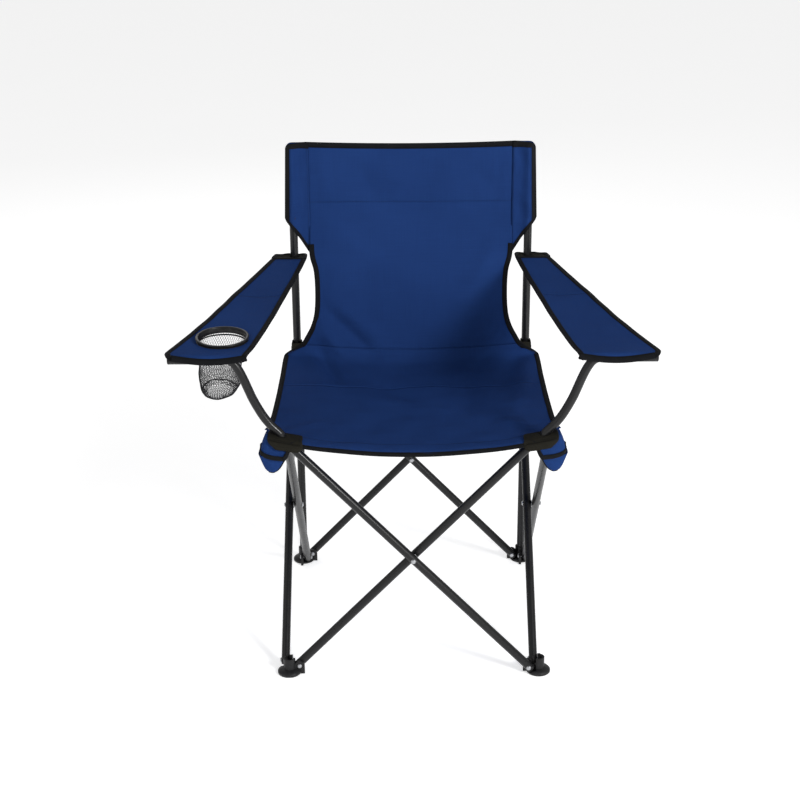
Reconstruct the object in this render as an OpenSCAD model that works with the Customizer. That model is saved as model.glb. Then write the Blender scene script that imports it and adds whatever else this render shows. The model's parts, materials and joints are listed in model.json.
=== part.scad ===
// Folding camp chair: four scissor pairs of steel tube between four moulded feet, two hubs
// and two sliders, with a fabric sling, two fabric arm rests and a net cup holder.
// Millimetres, +Z up, front towards -Y, origin on the floor at the middle of the chair.

/* [Frame] */
// Distance between the two back posts, and between the front and rear corners
post_spacing = 440; // [420:5:460]
// Outer diameter of every steel tube
tube_d = 15; // [14.5:0.1:15.2]
// Wall thickness of every steel tube
tube_wall = 1; // [0.8:0.1:1.5]
// Height of the lower leg pivots above the floor
foot_pivot_z = 15; // [15:0.5:17]
// Height of the upper leg pivots above the floor
top_pivot_z = 435; // [425:1:445]
// Distance of a leg pivot from its corner, along the face
pivot_inset = 18; // [18:0.5:20]
// Height of the top of the back posts
post_top_z = 845; // [835:1:846]

/* [Sling] */
// Height of the top edge of the back
back_top_z = 852; // [850:1:860]
// Width of the back at its top edge
back_w = 466; // [460:1:475]
// Width of the back at its waist
waist_w = 364; // [340:2:370]
// Width of the seat
seat_w = 488; // [460:2:500]
// Thickness of the fabric solids
fabric_t = 3; // [2:0.5:3]

/* [Arm rests] */
// Height of the arm rest where it is held on the back post
arm_rear_z = 637; // [635:1:645]
// Height of the level stretch of the arm tube
arm_front_z = 588; // [580:1:595]
// Distance of the arm rest's outer front corner from the middle of the chair
arm_reach = 402; // [395:1:405]

/* [Cup holder] */
// Bore of the ring that the cup stands in
cup_bore = 80; // [70:1:82]
// Depth of the net below the ring
cup_depth = 100; // [80:5:110]

/* [Hidden] */
$fn = 48;
gap = 0.3;                              // running clearance between moving pieces
half = post_spacing / 2;
tube_r = tube_d / 2;
leg_offset = tube_r + 0.5;              // leg axis to the middle plane of its face
leg_run = post_spacing - 2 * pivot_inset;
leg_rise = top_pivot_z - foot_pivot_z;
leg_length = norm([leg_run, leg_rise]); // pivot to pivot
leg_angle = atan2(leg_run, leg_rise);   // from upright
leg_tail = 6;                           // tube past each end pivot
mid_z = (top_pivot_z + foot_pivot_z) / 2;
rivet_r = 2.5;
head_r = 4.5;
head_t = 2;
ear_r = 9;
ear_t = 4.8;
boss_r = 10.5;
foot_r = 21;
foot_floor = 4;
socket_r = tube_r + 0.2;
slide_r = tube_r + 0.4;
post_bottom_z = 5;
slider_top = 24;                        // collar above the upper pivots
hub_top = 15;

steel = "#1b1b1d";
moulded = "#26262a";
zinc = "#8d9096";
cloth = "#1b3570";
binding = "#101114";
mesh_grey = "#3a3b3f";

// Corners and faces go round clockwise from the front left: 0 front left / front face,
// 1 rear left / left face, 2 rear right / rear face, 3 front right / right face.
module at_face(k) rotate([0, 0, -90 * k]) children();
module at_corner(k) at_face(k) translate([-half, -half, 0]) children();
module along_y(y, z) translate([0, y, z]) rotate([-90, 0, 0]) children();
module mirrored(side) if (side > 0) mirror([1, 0, 0]) children(); else children();

// ---- tubes ----
module pipe(length) difference() {
    cylinder(r = tube_r, h = length);
    translate([0, 0, -1]) cylinder(r = tube_r - tube_wall, h = length + 2);
}

module post(k) color(steel) at_corner(k)
    translate([0, 0, post_bottom_z]) pipe(post_top_z - post_bottom_z);

module post_cap(k) color(moulded) at_corner(k) translate([0, 0, post_top_z]) {
    cylinder(r = tube_r, h = 2);
    translate([0, 0, -12]) cylinder(r = tube_r - tube_wall - 0.1, h = 12.5);
}

// Puts children on a leg of face k: z along the leg from its middle, y across the face.
// turn is 1 for the inner leg and -1 for the outer leg.
module on_leg(k, turn) at_face(k) translate([0, -half + turn * leg_offset, mid_z])
    rotate([0, turn * leg_angle, 0]) children();

module pivot_bores() for (z = [-leg_length / 2, 0, leg_length / 2])
    translate([0, 0, z]) rotate([90, 0, 0]) cylinder(r = rivet_r + 0.1, h = 4 * tube_r, center = true);

module leg(k, turn) color(steel) on_leg(k, turn) difference() {
    translate([0, 0, -leg_length / 2 - leg_tail]) pipe(leg_length + 2 * leg_tail);
    pivot_bores();
}

module leg_plugs(k, turn) color(moulded) on_leg(k, turn) difference() {
    for (end = [0, 1]) mirror([0, 0, end]) translate([0, 0, leg_length / 2 + leg_tail]) {
        cylinder(r = tube_r - 0.2, h = 1.4);
        translate([0, 0, -15]) cylinder(r = tube_r - tube_wall - 0.1, h = 15.5);
    }
    pivot_bores();
}

// ---- rivets ----
// A rivet along +Y from y0 to y1, with a domed head at each end.
module rivet(y0, y1) {
    along_y(y0, 0) cylinder(r = rivet_r, h = y1 - y0);
    along_y(y1, 0) cylinder(r1 = head_r, r2 = head_r - 1.5, h = head_t);
    mirror([0, 1, 0]) along_y(-y0, 0) cylinder(r1 = head_r, r2 = head_r - 1.5, h = head_t);
}

tube_side = leg_offset + tube_r + gap;  // face plane to the far side of a leg

module centre_rivet(k) color(zinc) at_face(k) translate([0, -half, mid_z]) {
    rivet(-tube_side, tube_side);
    along_y(-0.4, 0) cylinder(r = 6.5, h = 0.8);
}

// The pivot rivets of a corner. outer_first is true where the leg along local +X is the outer one.
module corner_rivets(k, z, outer_first) color(zinc) at_corner(k) translate([0, 0, z]) {
    translate([pivot_inset, 0, 0]) rivet_pair(outer_first);
    translate([0, pivot_inset, 0]) mirror([1, -1, 0]) rivet_pair(!outer_first);
}
module rivet_pair(outer) {
    if (outer) rivet(-tube_side, ear_t);
    else rivet(-ear_t, tube_side);
}

// ---- moulded joints ----
// A lug that stands beside a leg end: flat plate in local XZ with a round eye at its pivot.
module lug(from_z, eye_z, outer) {
    y0 = outer ? 0 : -ear_t;
    along_y(y0, eye_z) translate([pivot_inset, 0, 0]) cylinder(r = ear_r, h = ear_t);
    translate([pivot_inset - ear_r, y0, min(from_z, eye_z)])
        cube([2 * ear_r, ear_t, abs(eye_z - from_z)]);
    translate([0, y0, from_z > eye_z ? eye_z : from_z])
        cube([pivot_inset, ear_t, abs(eye_z - from_z)]);
}
module lug_pair(from_z, eye_z, outer_first) {
    lug(from_z, eye_z, outer_first);
    mirror([1, -1, 0]) lug(from_z, eye_z, !outer_first);
}

// The room that the two leg ends need at a corner, between z0 and z1.
module leg_room(z0, z1, outer_first) {
    y0 = outer_first ? -tube_side : 0.2;
    x0 = outer_first ? 0.2 : -tube_side;
    translate([5, y0, z0]) cube([40, tube_side - 0.2, z1 - z0]);
    translate([x0, 5, z0]) cube([tube_side - 0.2, 40, z1 - z0]);
}
module eye_bores(eye_z) for (turn = [0, 1]) mirror([turn, -turn, 0])
    along_y(0, eye_z) translate([pivot_inset, 0, -20]) cylinder(r = rivet_r, h = 40);

module foot(k) color(moulded) at_corner(k) difference() {
    union() {
        rotate_extrude() polygon([[0, 0], [foot_r - 1.5, 0], [foot_r, 1.5], [foot_r, 5],
                                  [foot_r - 3, 8], [boss_r, 9.5], [0, 9.5]]);
        cylinder(r = boss_r, h = 29);
        lug_pair(0, foot_pivot_z, false);
    }
    translate([0, 0, post_bottom_z]) cylinder(r = socket_r, h = 40);
    leg_room(foot_floor, 60, false);
    eye_bores(foot_pivot_z);
}

// Hub at a front corner: two lugs hang beside the leg ends, and the boss holds the arm tube.
module hub(k) color(moulded) at_corner(k) translate([0, 0, top_pivot_z]) difference() {
    union() {
        translate([0, 0, -10]) cylinder(r = boss_r, h = hub_top + 10);
        lug_pair(ear_r, 0, true);
    }
    translate([0, 0, 2]) cylinder(r = socket_r, h = 40);
    leg_room(-20, 12, true);
    eye_bores(0);
}

// Slider at a rear corner: the same moulding, bored through so that it runs on the post.
module slider(k) color(moulded) at_corner(k) translate([0, 0, top_pivot_z]) difference() {
    union() {
        translate([0, 0, -10]) cylinder(r = boss_r + 1.5, h = slider_top + 10);
        lug_pair(ear_r, 0, true);
    }
    translate([0, 0, -20]) cylinder(r = slide_r, h = 80);
    leg_room(-20, 12, true);
    eye_bores(0);
}

// ---- arm tubes ----
// Route of the left arm tube from its hub: points of a smooth curve, in world XZ.
arm_knots = [[-220, 438], [-220, 453], [-225, 460.5], [-236, 471.5], [-247, 486], [-256, 501.5],
             [-264.5, 518.5], [-270, 532], [-277, 550], [-283, 564], [-289, 575], [-296, 583.5],
             [-305, 587.5], [-320, 588], [-360, 588], [-398, 588]];
function arm_point(p) = [p[0] + 220 - half, -half, p[1] + (arm_front_z - 588) * (p[1] - 438) / 150
                         + (top_pivot_z - 435)];
function unit(v) = v / norm(v);
function tangent(path, i) = unit(path[min(i + 1, len(path) - 1)] - path[max(i - 1, 0)]);
// Rings of points round each knot, in the plane across the curve; the curve lies in an XZ plane.
function ring(path, i, r, n) = let (t = tangent(path, i), side = [t[2], 0, -t[0]])
    [for (a = [0 : n - 1]) path[i] + r * (cos(360 * a / n) * side + sin(360 * a / n) * [0, 1, 0])];
module swept(path, r, n) {
    rings = len(path);
    points = [for (i = [0 : rings - 1]) each ring(path, i, r, n)];
    walls = [for (i = [0 : rings - 2], a = [0 : n - 1])
        let (b = (a + 1) % n) [i * n + a, i * n + b, (i + 1) * n + b, (i + 1) * n + a]];
    ends = [[for (a = [0 : n - 1]) n - 1 - a], [for (a = [0 : n - 1]) (rings - 1) * n + a]];
    polyhedron(points, concat(walls, ends));
}
module arm_tube(side) color(steel) mirrored(side)
    swept([for (p = arm_knots) arm_point(p)], tube_r, 20);

// ---- sling ----
// A bent strip in world YZ, fabric_t thick, through the given points, cut to an outline.
module strip(points, width) rotate([90, 0, 90]) translate([0, 0, -width / 2])
    linear_extrude(width) polygon(concat(points,
        [for (i = [len(points) - 1 : -1 : 0]) points[i] + [-fabric_t, 0.4 * fabric_t]]));

seam_x = half - 30;                     // inner edge of the post sleeves
sleeve_low_z = back_top_z - 191;        // sleeve's lower edge at the seam
sleeve_side_z = back_top_z - 146;       // sleeve's lower edge at the outside
waist_z = 560;
ear_z = 456;
back_half = [[seam_x, back_top_z], [seam_x, sleeve_low_z], [seam_x - 5, 620],
             [waist_w / 2, waist_z], [waist_w / 2 + 5, 528], [waist_w / 2 + 19, 490],
             [seat_w / 2 - 1, ear_z + 4], [seat_w / 2, ear_z]];
back_path = [[half + 1.5, back_top_z], [half + 1.5, 706], [half - 20, 604], [half - 22, 480],
             [half - 24, ear_z]];

module back_panel() color(cloth) intersection() {
    strip(back_path, seat_w);
    rotate([90, 0, 0]) linear_extrude(2 * post_spacing, center = true)
        polygon(concat(back_half, [for (i = [len(back_half) - 1 : -1 : 0])
            [-back_half[i][0], back_half[i][1]]]));
}

// Pocket that drops over the top of a back post, with its lower edge cut on the slant.
module back_sleeve(side) color(cloth) mirrored(side) difference() {
    translate([0, half, sleeve_low_z]) linear_extrude(back_top_z - sleeve_low_z)
        polygon([[-seam_x - gap, -1.5], [-half + 8, -10], [-half - 8, -10], [-back_w / 2, -1.5],
                 [-back_w / 2, 1.5], [-half - 8, 10], [-half + 8, 10], [-seam_x - gap, 1.5]]);
    translate([-half, half, 0]) cylinder(r = tube_r + gap, h = post_top_z + 2 + gap);
    translate([-seam_x, half, sleeve_low_z])
        rotate([0, atan2(sleeve_side_z - sleeve_low_z, back_w / 2 - seam_x), 0])
        translate([-100, -50, -100]) cube([200, 100, 100]);
}

seat_hinge = [half - 29, 454];          // rear edge of the seat, where the back ends
crease = [60, 436];                     // where the seat folds down
seat_front_edge = [-half - 12, 434];

module seat_strip(a, b, outline) color(cloth) intersection() {
    rotate([90, 0, 90]) translate([0, 0, -seat_w]) linear_extrude(2 * seat_w)
        polygon([a, b, b + [0, fabric_t], a + [0, fabric_t]]);
    linear_extrude(back_top_z) polygon(outline);
}
module seat_rear() seat_strip(seat_hinge, crease + [0.5, 0],
    [[-seat_w / 2, 0], [seat_w / 2, 0], [seat_w / 2, 300], [-seat_w / 2, 300]]);
module seat_front() seat_strip(crease, seat_front_edge,
    [[-seat_w / 2, 300], [seat_w / 2, 300], [seat_w / 2, 45 - half], [half - 36, 45 - half],
     [half - 36, -300], [36 - half, -300], [36 - half, 45 - half], [-seat_w / 2, 45 - half]]);

// Reinforced corner of the seat: a plate that the arm tube comes up through, with two flaps.
corner_z = top_pivot_z + hub_top + 1;
module seat_corner(side) color(cloth) mirrored(side) {
    difference() {
        translate([-half - 34, -half - 20, corner_z]) cube([54, 44, fabric_t]);
        translate([-half, -half, 0]) cylinder(r = tube_r + 4, h = 2 * corner_z);
    }
    translate([-half - 34, -half - 17, 0]) rotate([90, 0, 0]) linear_extrude(fabric_t)
        polygon([[0, corner_z], [0, corner_z - 36], [10, corner_z - 58], [18, corner_z - 62],
                 [26, corner_z - 56], [44, corner_z - 24], [44, corner_z]]);
    translate([-half - 34, -half - 20, corner_z - 40]) cube([fabric_t, 40, 40]);
}

// Webbing loop that ties the sling to its slider, round the post above the collar.
loop_z = top_pivot_z + slider_top + 1;
module post_loop(side) color(binding) mirrored(side) translate([-half, half, loop_z])
    difference() {
        union() {
            cylinder(r = tube_r + 2.2, h = 12);
            translate([-tube_r - 2.2, -20, 0]) cube([2 * tube_r + 4.4, 20, 12]);
        }
        translate([0, 0, -1]) cylinder(r = slide_r, h = 20);
        translate([-tube_r, -17.8, -1]) cube([2 * tube_r, 17.8, 20]);
    }

// ---- arm rests ----
arm_hinge = [half - 17, arm_rear_z];    // rear end of the moving cloth, in YZ
arm_crease = [40, arm_rear_z - (arm_rear_z - arm_front_z) * 163 / (2 * half - 17)];
arm_tip = [-half - tube_r - 1.5, arm_front_z + tube_r + 1];
// Plan outline of a left arm rest: inner edge, then outer edge.
arm_plan = [[-half + 22, half - 15], [-half - 53, -300], [-arm_reach, -300], [-arm_reach, -half],
            [-half - 42, half - 15]];

module arm_sheet(side, a, b, from_y, to_y) color(cloth) mirrored(side) intersection() {
    rotate([90, 0, 90]) translate([0, 0, -2 * arm_reach]) linear_extrude(4 * arm_reach)
        polygon([a, b, b + [0, fabric_t], a + [0, fabric_t]]);
    linear_extrude(back_top_z) intersection() {
        polygon(arm_plan);
        translate([-600, from_y]) square([600, to_y - from_y]);
    }
}
module arm_rear(side) arm_sheet(side, arm_hinge, arm_crease, arm_crease[0] + 0.5, half);
cup_at = [-319, -148];
arm_sag = 5;                            // how far the cloth hangs below a straight line at the cup
cup_z = arm_front_z + tube_r + 1 + (arm_crease[1] - arm_tip[1]) * (cup_at[1] - arm_tip[0])
        / (arm_crease[0] - arm_tip[0]) + fabric_t / 2 - arm_sag;
arm_slope = atan2(arm_crease[1] - arm_tip[1], arm_crease[0] - arm_tip[0]);
module at_cup() translate([cup_at[0], cup_at[1], cup_z]) rotate([arm_slope, 0, 0]) children();

module arm_front(side) difference() {
    arm_sheet(side, arm_crease, arm_tip, -half - 20, arm_crease[0]);
    if (side < 0) at_cup() translate([0, 0, -20]) cylinder(r = cup_bore / 2 + 6 + gap, h = 40);
}

// Stiff end patch of an arm rest, with the hole that its post goes through.
module arm_end(side) color(binding) mirrored(side) difference() {
    translate([0, 0, arm_rear_z - 1]) linear_extrude(fabric_t + 2) polygon([
        [-half + 22, half - 14], [-half - 41, half - 14], [-half - 34, half + 10],
        [-half - 22, half + 17], [-half + 10, half + 17], [-half + 19, half + 10]]);
    translate([-half, half, 0]) cylinder(r = tube_r + gap, h = back_top_z);
}

module cup_ring() color(moulded) at_cup() difference() {
    union() {
        translate([0, 0, -5]) cylinder(r = cup_bore / 2 + 3, h = 8.5, $fn = 96);
        translate([0, 0, 2]) cylinder(r = cup_bore / 2 + 6, h = 2.5, $fn = 96);
        translate([0, 0, -5]) cylinder(r = cup_bore / 2 + 6, h = 2, $fn = 96);
    }
    translate([0, 0, -10]) cylinder(r = cup_bore / 2, h = 30, $fn = 96);
}

net_wall = 1.2;
module cup_net() color(mesh_grey) at_cup() translate([0, 0, -5.4]) rotate_extrude($fn = 64)
    polygon([[cup_bore / 2 + 1, 0], [cup_bore / 2 - 3, -0.7 * cup_depth],
             [cup_bore / 2 - 16, -cup_depth], [0, -cup_depth], [0, -cup_depth + net_wall],
             [cup_bore / 2 - 16 - net_wall, -cup_depth + net_wall],
             [cup_bore / 2 - 3 - net_wall, -0.7 * cup_depth], [cup_bore / 2 + 1 - net_wall, 0]]);

post(1);  // post_left
post(2);  // post_right
post_cap(1);  // post_cap_left
post_cap(2);  // post_cap_right
foot(0);  // foot_front_left
foot(1);  // foot_rear_left
foot(2);  // foot_rear_right
foot(3);  // foot_front_right
corner_rivets(0, foot_pivot_z, false);  // foot_rivets_front_left
corner_rivets(1, foot_pivot_z, false);  // foot_rivets_rear_left
corner_rivets(2, foot_pivot_z, false);  // foot_rivets_rear_right
corner_rivets(3, foot_pivot_z, false);  // foot_rivets_front_right
hub(0);  // hub_left
slider(1);  // slider_left
slider(2);  // slider_right
hub(3);  // hub_right
corner_rivets(0, top_pivot_z, true);  // hub_rivets_left
corner_rivets(1, top_pivot_z, true);  // slider_rivets_left
corner_rivets(2, top_pivot_z, true);  // slider_rivets_right
corner_rivets(3, top_pivot_z, true);  // hub_rivets_right
leg(0, 1);  // front_inner_leg
leg(1, 1);  // left_inner_leg
leg(2, 1);  // rear_inner_leg
leg(3, 1);  // right_inner_leg
leg(0, -1);  // front_outer_leg
leg(1, -1);  // left_outer_leg
leg(2, -1);  // rear_outer_leg
leg(3, -1);  // right_outer_leg
leg_plugs(0, 1);  // front_inner_plugs
leg_plugs(1, 1);  // left_inner_plugs
leg_plugs(2, 1);  // rear_inner_plugs
leg_plugs(3, 1);  // right_inner_plugs
leg_plugs(0, -1);  // front_outer_plugs
leg_plugs(1, -1);  // left_outer_plugs
leg_plugs(2, -1);  // rear_outer_plugs
leg_plugs(3, -1);  // right_outer_plugs
centre_rivet(0);  // front_centre_rivet
centre_rivet(1);  // left_centre_rivet
centre_rivet(2);  // rear_centre_rivet
centre_rivet(3);  // right_centre_rivet
arm_tube(-1);  // arm_tube_left
arm_tube(1);  // arm_tube_right
back_panel();
back_sleeve(-1);  // back_sleeve_left
back_sleeve(1);  // back_sleeve_right
seat_rear();
seat_front();
seat_corner(-1);  // seat_corner_left
seat_corner(1);  // seat_corner_right
post_loop(-1);  // post_loop_left
post_loop(1);  // post_loop_right
arm_rear(-1);  // arm_rest_left_rear
arm_front(-1);  // arm_rest_left_front
arm_rear(1);  // arm_rest_right_rear
arm_front(1);  // arm_rest_right_front
arm_end(-1);  // arm_end_left
arm_end(1);  // arm_end_right
cup_ring();
cup_net();
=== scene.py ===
"""Folding camp chair: cloth, tape, netting and finishes round the fixed frame."""
import json
import math

import bmesh
import bpy
import numpy as np
from mathutils import Matrix, Vector


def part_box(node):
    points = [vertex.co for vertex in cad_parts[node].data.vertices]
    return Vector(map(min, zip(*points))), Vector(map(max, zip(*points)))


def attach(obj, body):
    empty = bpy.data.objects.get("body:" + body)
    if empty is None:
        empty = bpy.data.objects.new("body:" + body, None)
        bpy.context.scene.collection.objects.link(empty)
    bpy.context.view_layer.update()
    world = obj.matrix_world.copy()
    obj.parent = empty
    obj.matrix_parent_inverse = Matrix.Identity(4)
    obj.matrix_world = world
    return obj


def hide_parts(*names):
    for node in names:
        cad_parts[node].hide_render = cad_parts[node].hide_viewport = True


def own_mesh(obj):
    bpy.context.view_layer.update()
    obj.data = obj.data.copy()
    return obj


bl_info = {
    "name": "Camp chair",
    "version": (1, 0, 0),
    "blender": (4, 5, 0),
    "location": "3D View > Sidebar > Camp chair",
    "description": "Makes the cloth, tape, net and finishes of a folding camp chair",
    "category": "Object",
}

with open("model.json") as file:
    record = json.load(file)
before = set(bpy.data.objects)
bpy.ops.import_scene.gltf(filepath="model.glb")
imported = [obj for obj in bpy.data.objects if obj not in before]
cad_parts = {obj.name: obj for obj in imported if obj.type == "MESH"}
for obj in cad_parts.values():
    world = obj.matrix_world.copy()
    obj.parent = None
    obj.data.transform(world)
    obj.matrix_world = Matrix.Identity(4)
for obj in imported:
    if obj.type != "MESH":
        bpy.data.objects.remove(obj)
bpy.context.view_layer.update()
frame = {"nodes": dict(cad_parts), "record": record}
MM = 0.001


def middle(node):
    """Centre of a node's box at rest."""
    low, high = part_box(node)
    return (np.array(low) + np.array(high)) / 2


def top(node):
    """Highest Z of a node at rest."""
    return float(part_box(node)[1][2])


# Sizes read from the frame, in metres.
HALF = float(middle("post_right")[0])                # post axis to the middle of the chair
TUBE_R = float(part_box("post_right")[1][0]) - HALF
BACK_TOP = top("back_panel")
SEAM_X = float(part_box("back_sleeve_right")[0][0])    # seam between the back and a post sleeve
SLEEVE_X = float(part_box("back_sleeve_right")[1][0])  # outer edge of a post sleeve
SLEEVE_LOW = float(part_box("back_sleeve_right")[0][2])
ARM_CREASE_Y = float(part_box("arm_rest_left_front")[1][1])
ARM_END_Z = float(middle("arm_end_left")[2])
ARM_BAR_Z = float(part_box("arm_tube_left")[1][2]) - TUBE_R
CUP = middle("cup_ring")
CUP_R = float(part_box("cup_ring")[1][0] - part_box("cup_ring")[0][0]) / 2
NET_TOP = float(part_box("cup_net")[1][2])
NET_LOW = float(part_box("cup_net")[0][2])
CLOTH_STEP = 0.0042                                  # between the rows of a cloth's mesh
SEWN_LIFT = 0.0014                                   # of stitches above the middle of a taped edge
RAYS = 96                                            # round a corner's cloth and round the cup ring


# ---------------------------------------------------------------- meshes
def grid_faces(rows, columns, wrap_rows=False, wrap_columns=False, start=0):
    """Quads of a grid whose point (i, j) has index start + i * columns + j."""
    i = np.arange(rows if wrap_rows else rows - 1)[:, None]
    j = np.arange(columns if wrap_columns else columns - 1)[None, :]
    i2, j2 = (i + 1) % rows, (j + 1) % columns
    quads = np.stack([i * columns + j, i2 * columns + j, i2 * columns + j2, i * columns + j2], -1)
    return quads.reshape(-1, 4) + start


def make_mesh(name, points, faces, material, uv=None, flat=None):
    """Object from points (n, 3), quads (m, 4), one UV for each point, and a mask of flat faces."""
    points = np.asarray(points, float).reshape(-1, 3)
    faces = np.asarray(faces, int).reshape(-1, 4)
    mesh = bpy.data.meshes.new(name)
    mesh.vertices.add(len(points))
    mesh.vertices.foreach_set("co", points.ravel())
    mesh.loops.add(faces.size)
    mesh.loops.foreach_set("vertex_index", faces.ravel())
    mesh.polygons.add(len(faces))
    mesh.polygons.foreach_set("loop_start", np.arange(0, faces.size, 4))
    smooth = np.ones(len(faces), bool) if flat is None else ~np.asarray(flat, bool)
    mesh.update(calc_edges=True)
    mesh.polygons.foreach_set("use_smooth", smooth)
    if uv is not None:
        layer = mesh.uv_layers.new(name="cloth")
        layer.data.foreach_set("uv", np.asarray(uv, float).reshape(-1, 2)[faces.ravel()].ravel())
    mesh.validate()
    mesh.update()
    obj = bpy.data.objects.new(name, mesh)
    bpy.context.scene.collection.objects.link(obj)
    obj.data.materials.append(material)
    return obj


def unit(v):
    """Vectors along the last axis, made one long."""
    return v / np.maximum(np.linalg.norm(v, axis=-1, keepdims=True), 1e-12)


def normals(grid):
    """Normals of a grid surface: the cross product of its two finite differences."""
    return unit(np.cross(np.gradient(grid, axis=0), np.gradient(grid, axis=1)))


def sheet_mesh(name, grid, uv, material, thick, wrap=False, off=None):
    """Closed sheet: the grid moved half a thickness each way along its normals, with a flat rim.

    wrap says that the rows run right round, as on a sleeve. off gives the normals, where two sheets
    have to meet in one line.
    """
    rows, columns = grid.shape[:2]
    if off is not None:
        n = off
    elif wrap:
        padded = np.concatenate([grid[-1:], grid, grid[:1]])
        n = normals(padded)[1:-1]
    else:
        n = normals(grid)
    count = rows * columns
    points = np.concatenate([(grid + n * thick / 2).reshape(-1, 3), (grid - n * thick / 2).reshape(-1, 3)])
    outer = grid_faces(rows, columns, wrap_rows=wrap)
    inner = outer[:, ::-1] + count
    index = np.arange(count).reshape(rows, columns)
    if wrap:
        loops = [np.append(index[::-1, 0], index[-1, 0]), np.append(index[:, -1], index[0, -1])]
    else:
        loops = [np.concatenate([index[0, :], index[1:, -1], index[-1, -2::-1], index[-2::-1, 0]])]
    rims = [np.stack([a[:-1], a[1:], a[1:] + count, a[:-1] + count], -1) for a in loops]
    faces = np.concatenate([outer, inner] + rims)
    flat = np.arange(len(faces)) >= 2 * len(outer)
    return make_mesh(name, points, faces, material, np.concatenate([uv.reshape(-1, 2)] * 2), flat)


def spaced(path, step):
    """A path's points moved along it so that they are equally spaced, about step apart."""
    length = np.concatenate([[0], np.cumsum(np.linalg.norm(np.diff(path, axis=0), axis=1))])
    count = max(int(round(length[-1] / step)), 2) + 1
    at = np.linspace(0, length[-1], count)
    return np.stack([np.interp(at, length, path[:, k]) for k in range(path.shape[1])], -1)


def smooth_through(knots, count):
    """Catmull-Rom curve through knots (n, k), as count points equally spaced in the knot number."""
    knots = np.asarray(knots, float)
    ends = np.concatenate([2 * knots[:1] - knots[1:2], knots, 2 * knots[-1:] - knots[-2:-1]])
    t = np.linspace(0, len(knots) - 1, count)
    i = np.minimum(t.astype(int), len(knots) - 2)
    f = (t - i)[:, None]
    a, b, c, d = ends[i], ends[i + 1], ends[i + 2], ends[i + 3]
    square, cube = 2 * a - 5 * b + 4 * c - d, 3 * b - a - 3 * c + d
    return 0.5 * (2 * b + (c - a) * f + square * f ** 2 + cube * f ** 3)


def sweep_mesh(name, path, side, up, profile, material, closed_path=False):
    """A closed profile (k, 2) carried along path: each ring is path + p0 * side + p1 * up.

    UV is the length along the path and the length round the profile, in metres.
    """
    profile = np.asarray(profile, float)
    rows, columns = len(path), len(profile)
    points = path[:, None] + profile[None, :, :1] * side[:, None] + profile[None, :, 1:] * up[:, None]
    along = np.concatenate([[0], np.cumsum(np.linalg.norm(np.diff(path, axis=0), axis=1))])
    round_it = np.concatenate([[0], np.cumsum(np.linalg.norm(np.diff(profile, axis=0), axis=1))])
    uv = np.stack(np.broadcast_arrays(along[:, None], round_it[None, :]), -1)
    faces = grid_faces(rows, columns, wrap_rows=closed_path, wrap_columns=True)
    points, uv = points.reshape(-1, 3), uv.reshape(-1, 2)
    if not closed_path:
        caps = [points[:columns].mean(0), points[-columns:].mean(0)]
        points = np.concatenate([points, caps])
        uv = np.concatenate([uv, uv[:1], uv[-1:]])
        pairs = np.arange(0, columns, 2)
        last = (rows - 1) * columns
        for centre, base in ((rows * columns, 0), (rows * columns + 1, last)):
            fan = [np.full(len(pairs), centre), base + pairs, base + (pairs + 1) % columns,
                   base + (pairs + 2) % columns]
            faces = np.concatenate([faces, np.stack(fan, -1)])
    obj = make_mesh(name, points, faces, material, uv)
    return recalculated(obj)


def recalculated(obj):
    """Turns every face of a closed mesh outwards."""
    work = bmesh.new()
    work.from_mesh(obj.data)
    bmesh.ops.recalc_face_normals(work, faces=work.faces)
    work.to_mesh(obj.data)
    work.free()
    return obj


def circle(radius, count):
    """Closed round profile."""
    a = np.arange(count) * 2 * math.pi / count
    return np.stack([radius * np.cos(a), radius * np.sin(a)], -1)


def tape_mesh(name, edge, inside, normal, width, lift=0.0011, over=0.0014):
    """Binding tape folded over a cloth edge; inside holds points of the cloth next to the edge.

    Its profile is a flat U: lift is how far each side stands off the cloth's middle surface, width
    how far the sides reach in from the edge, and over how far the fold stands past the edge.
    """
    line = spaced(np.concatenate([edge, inside, normal], axis=1), 0.004)
    edge, inside, up = line[:, :3], line[:, 3:6], unit(line[:, 6:])
    outward = unit(np.cross(np.gradient(edge, axis=0), up))
    outward *= np.sign(np.sum(outward * (edge - inside), axis=1, keepdims=True))
    up = unit(np.cross(outward, np.cross(up, outward)))
    t = np.linspace(-math.pi / 2, math.pi / 2, 7)
    nose = np.stack([over * np.cos(t), lift * np.sin(t)], -1)
    sides = [[-0.5 * width, lift * 1.1], [-width, lift * 0.9], [-width - 0.0003, 0.0],
             [-width, -lift * 0.9], [-0.5 * width, -lift * 1.1]]
    return sweep_mesh(name, edge, outward, up, np.concatenate([nose, sides]), materials()["tape"])


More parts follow.
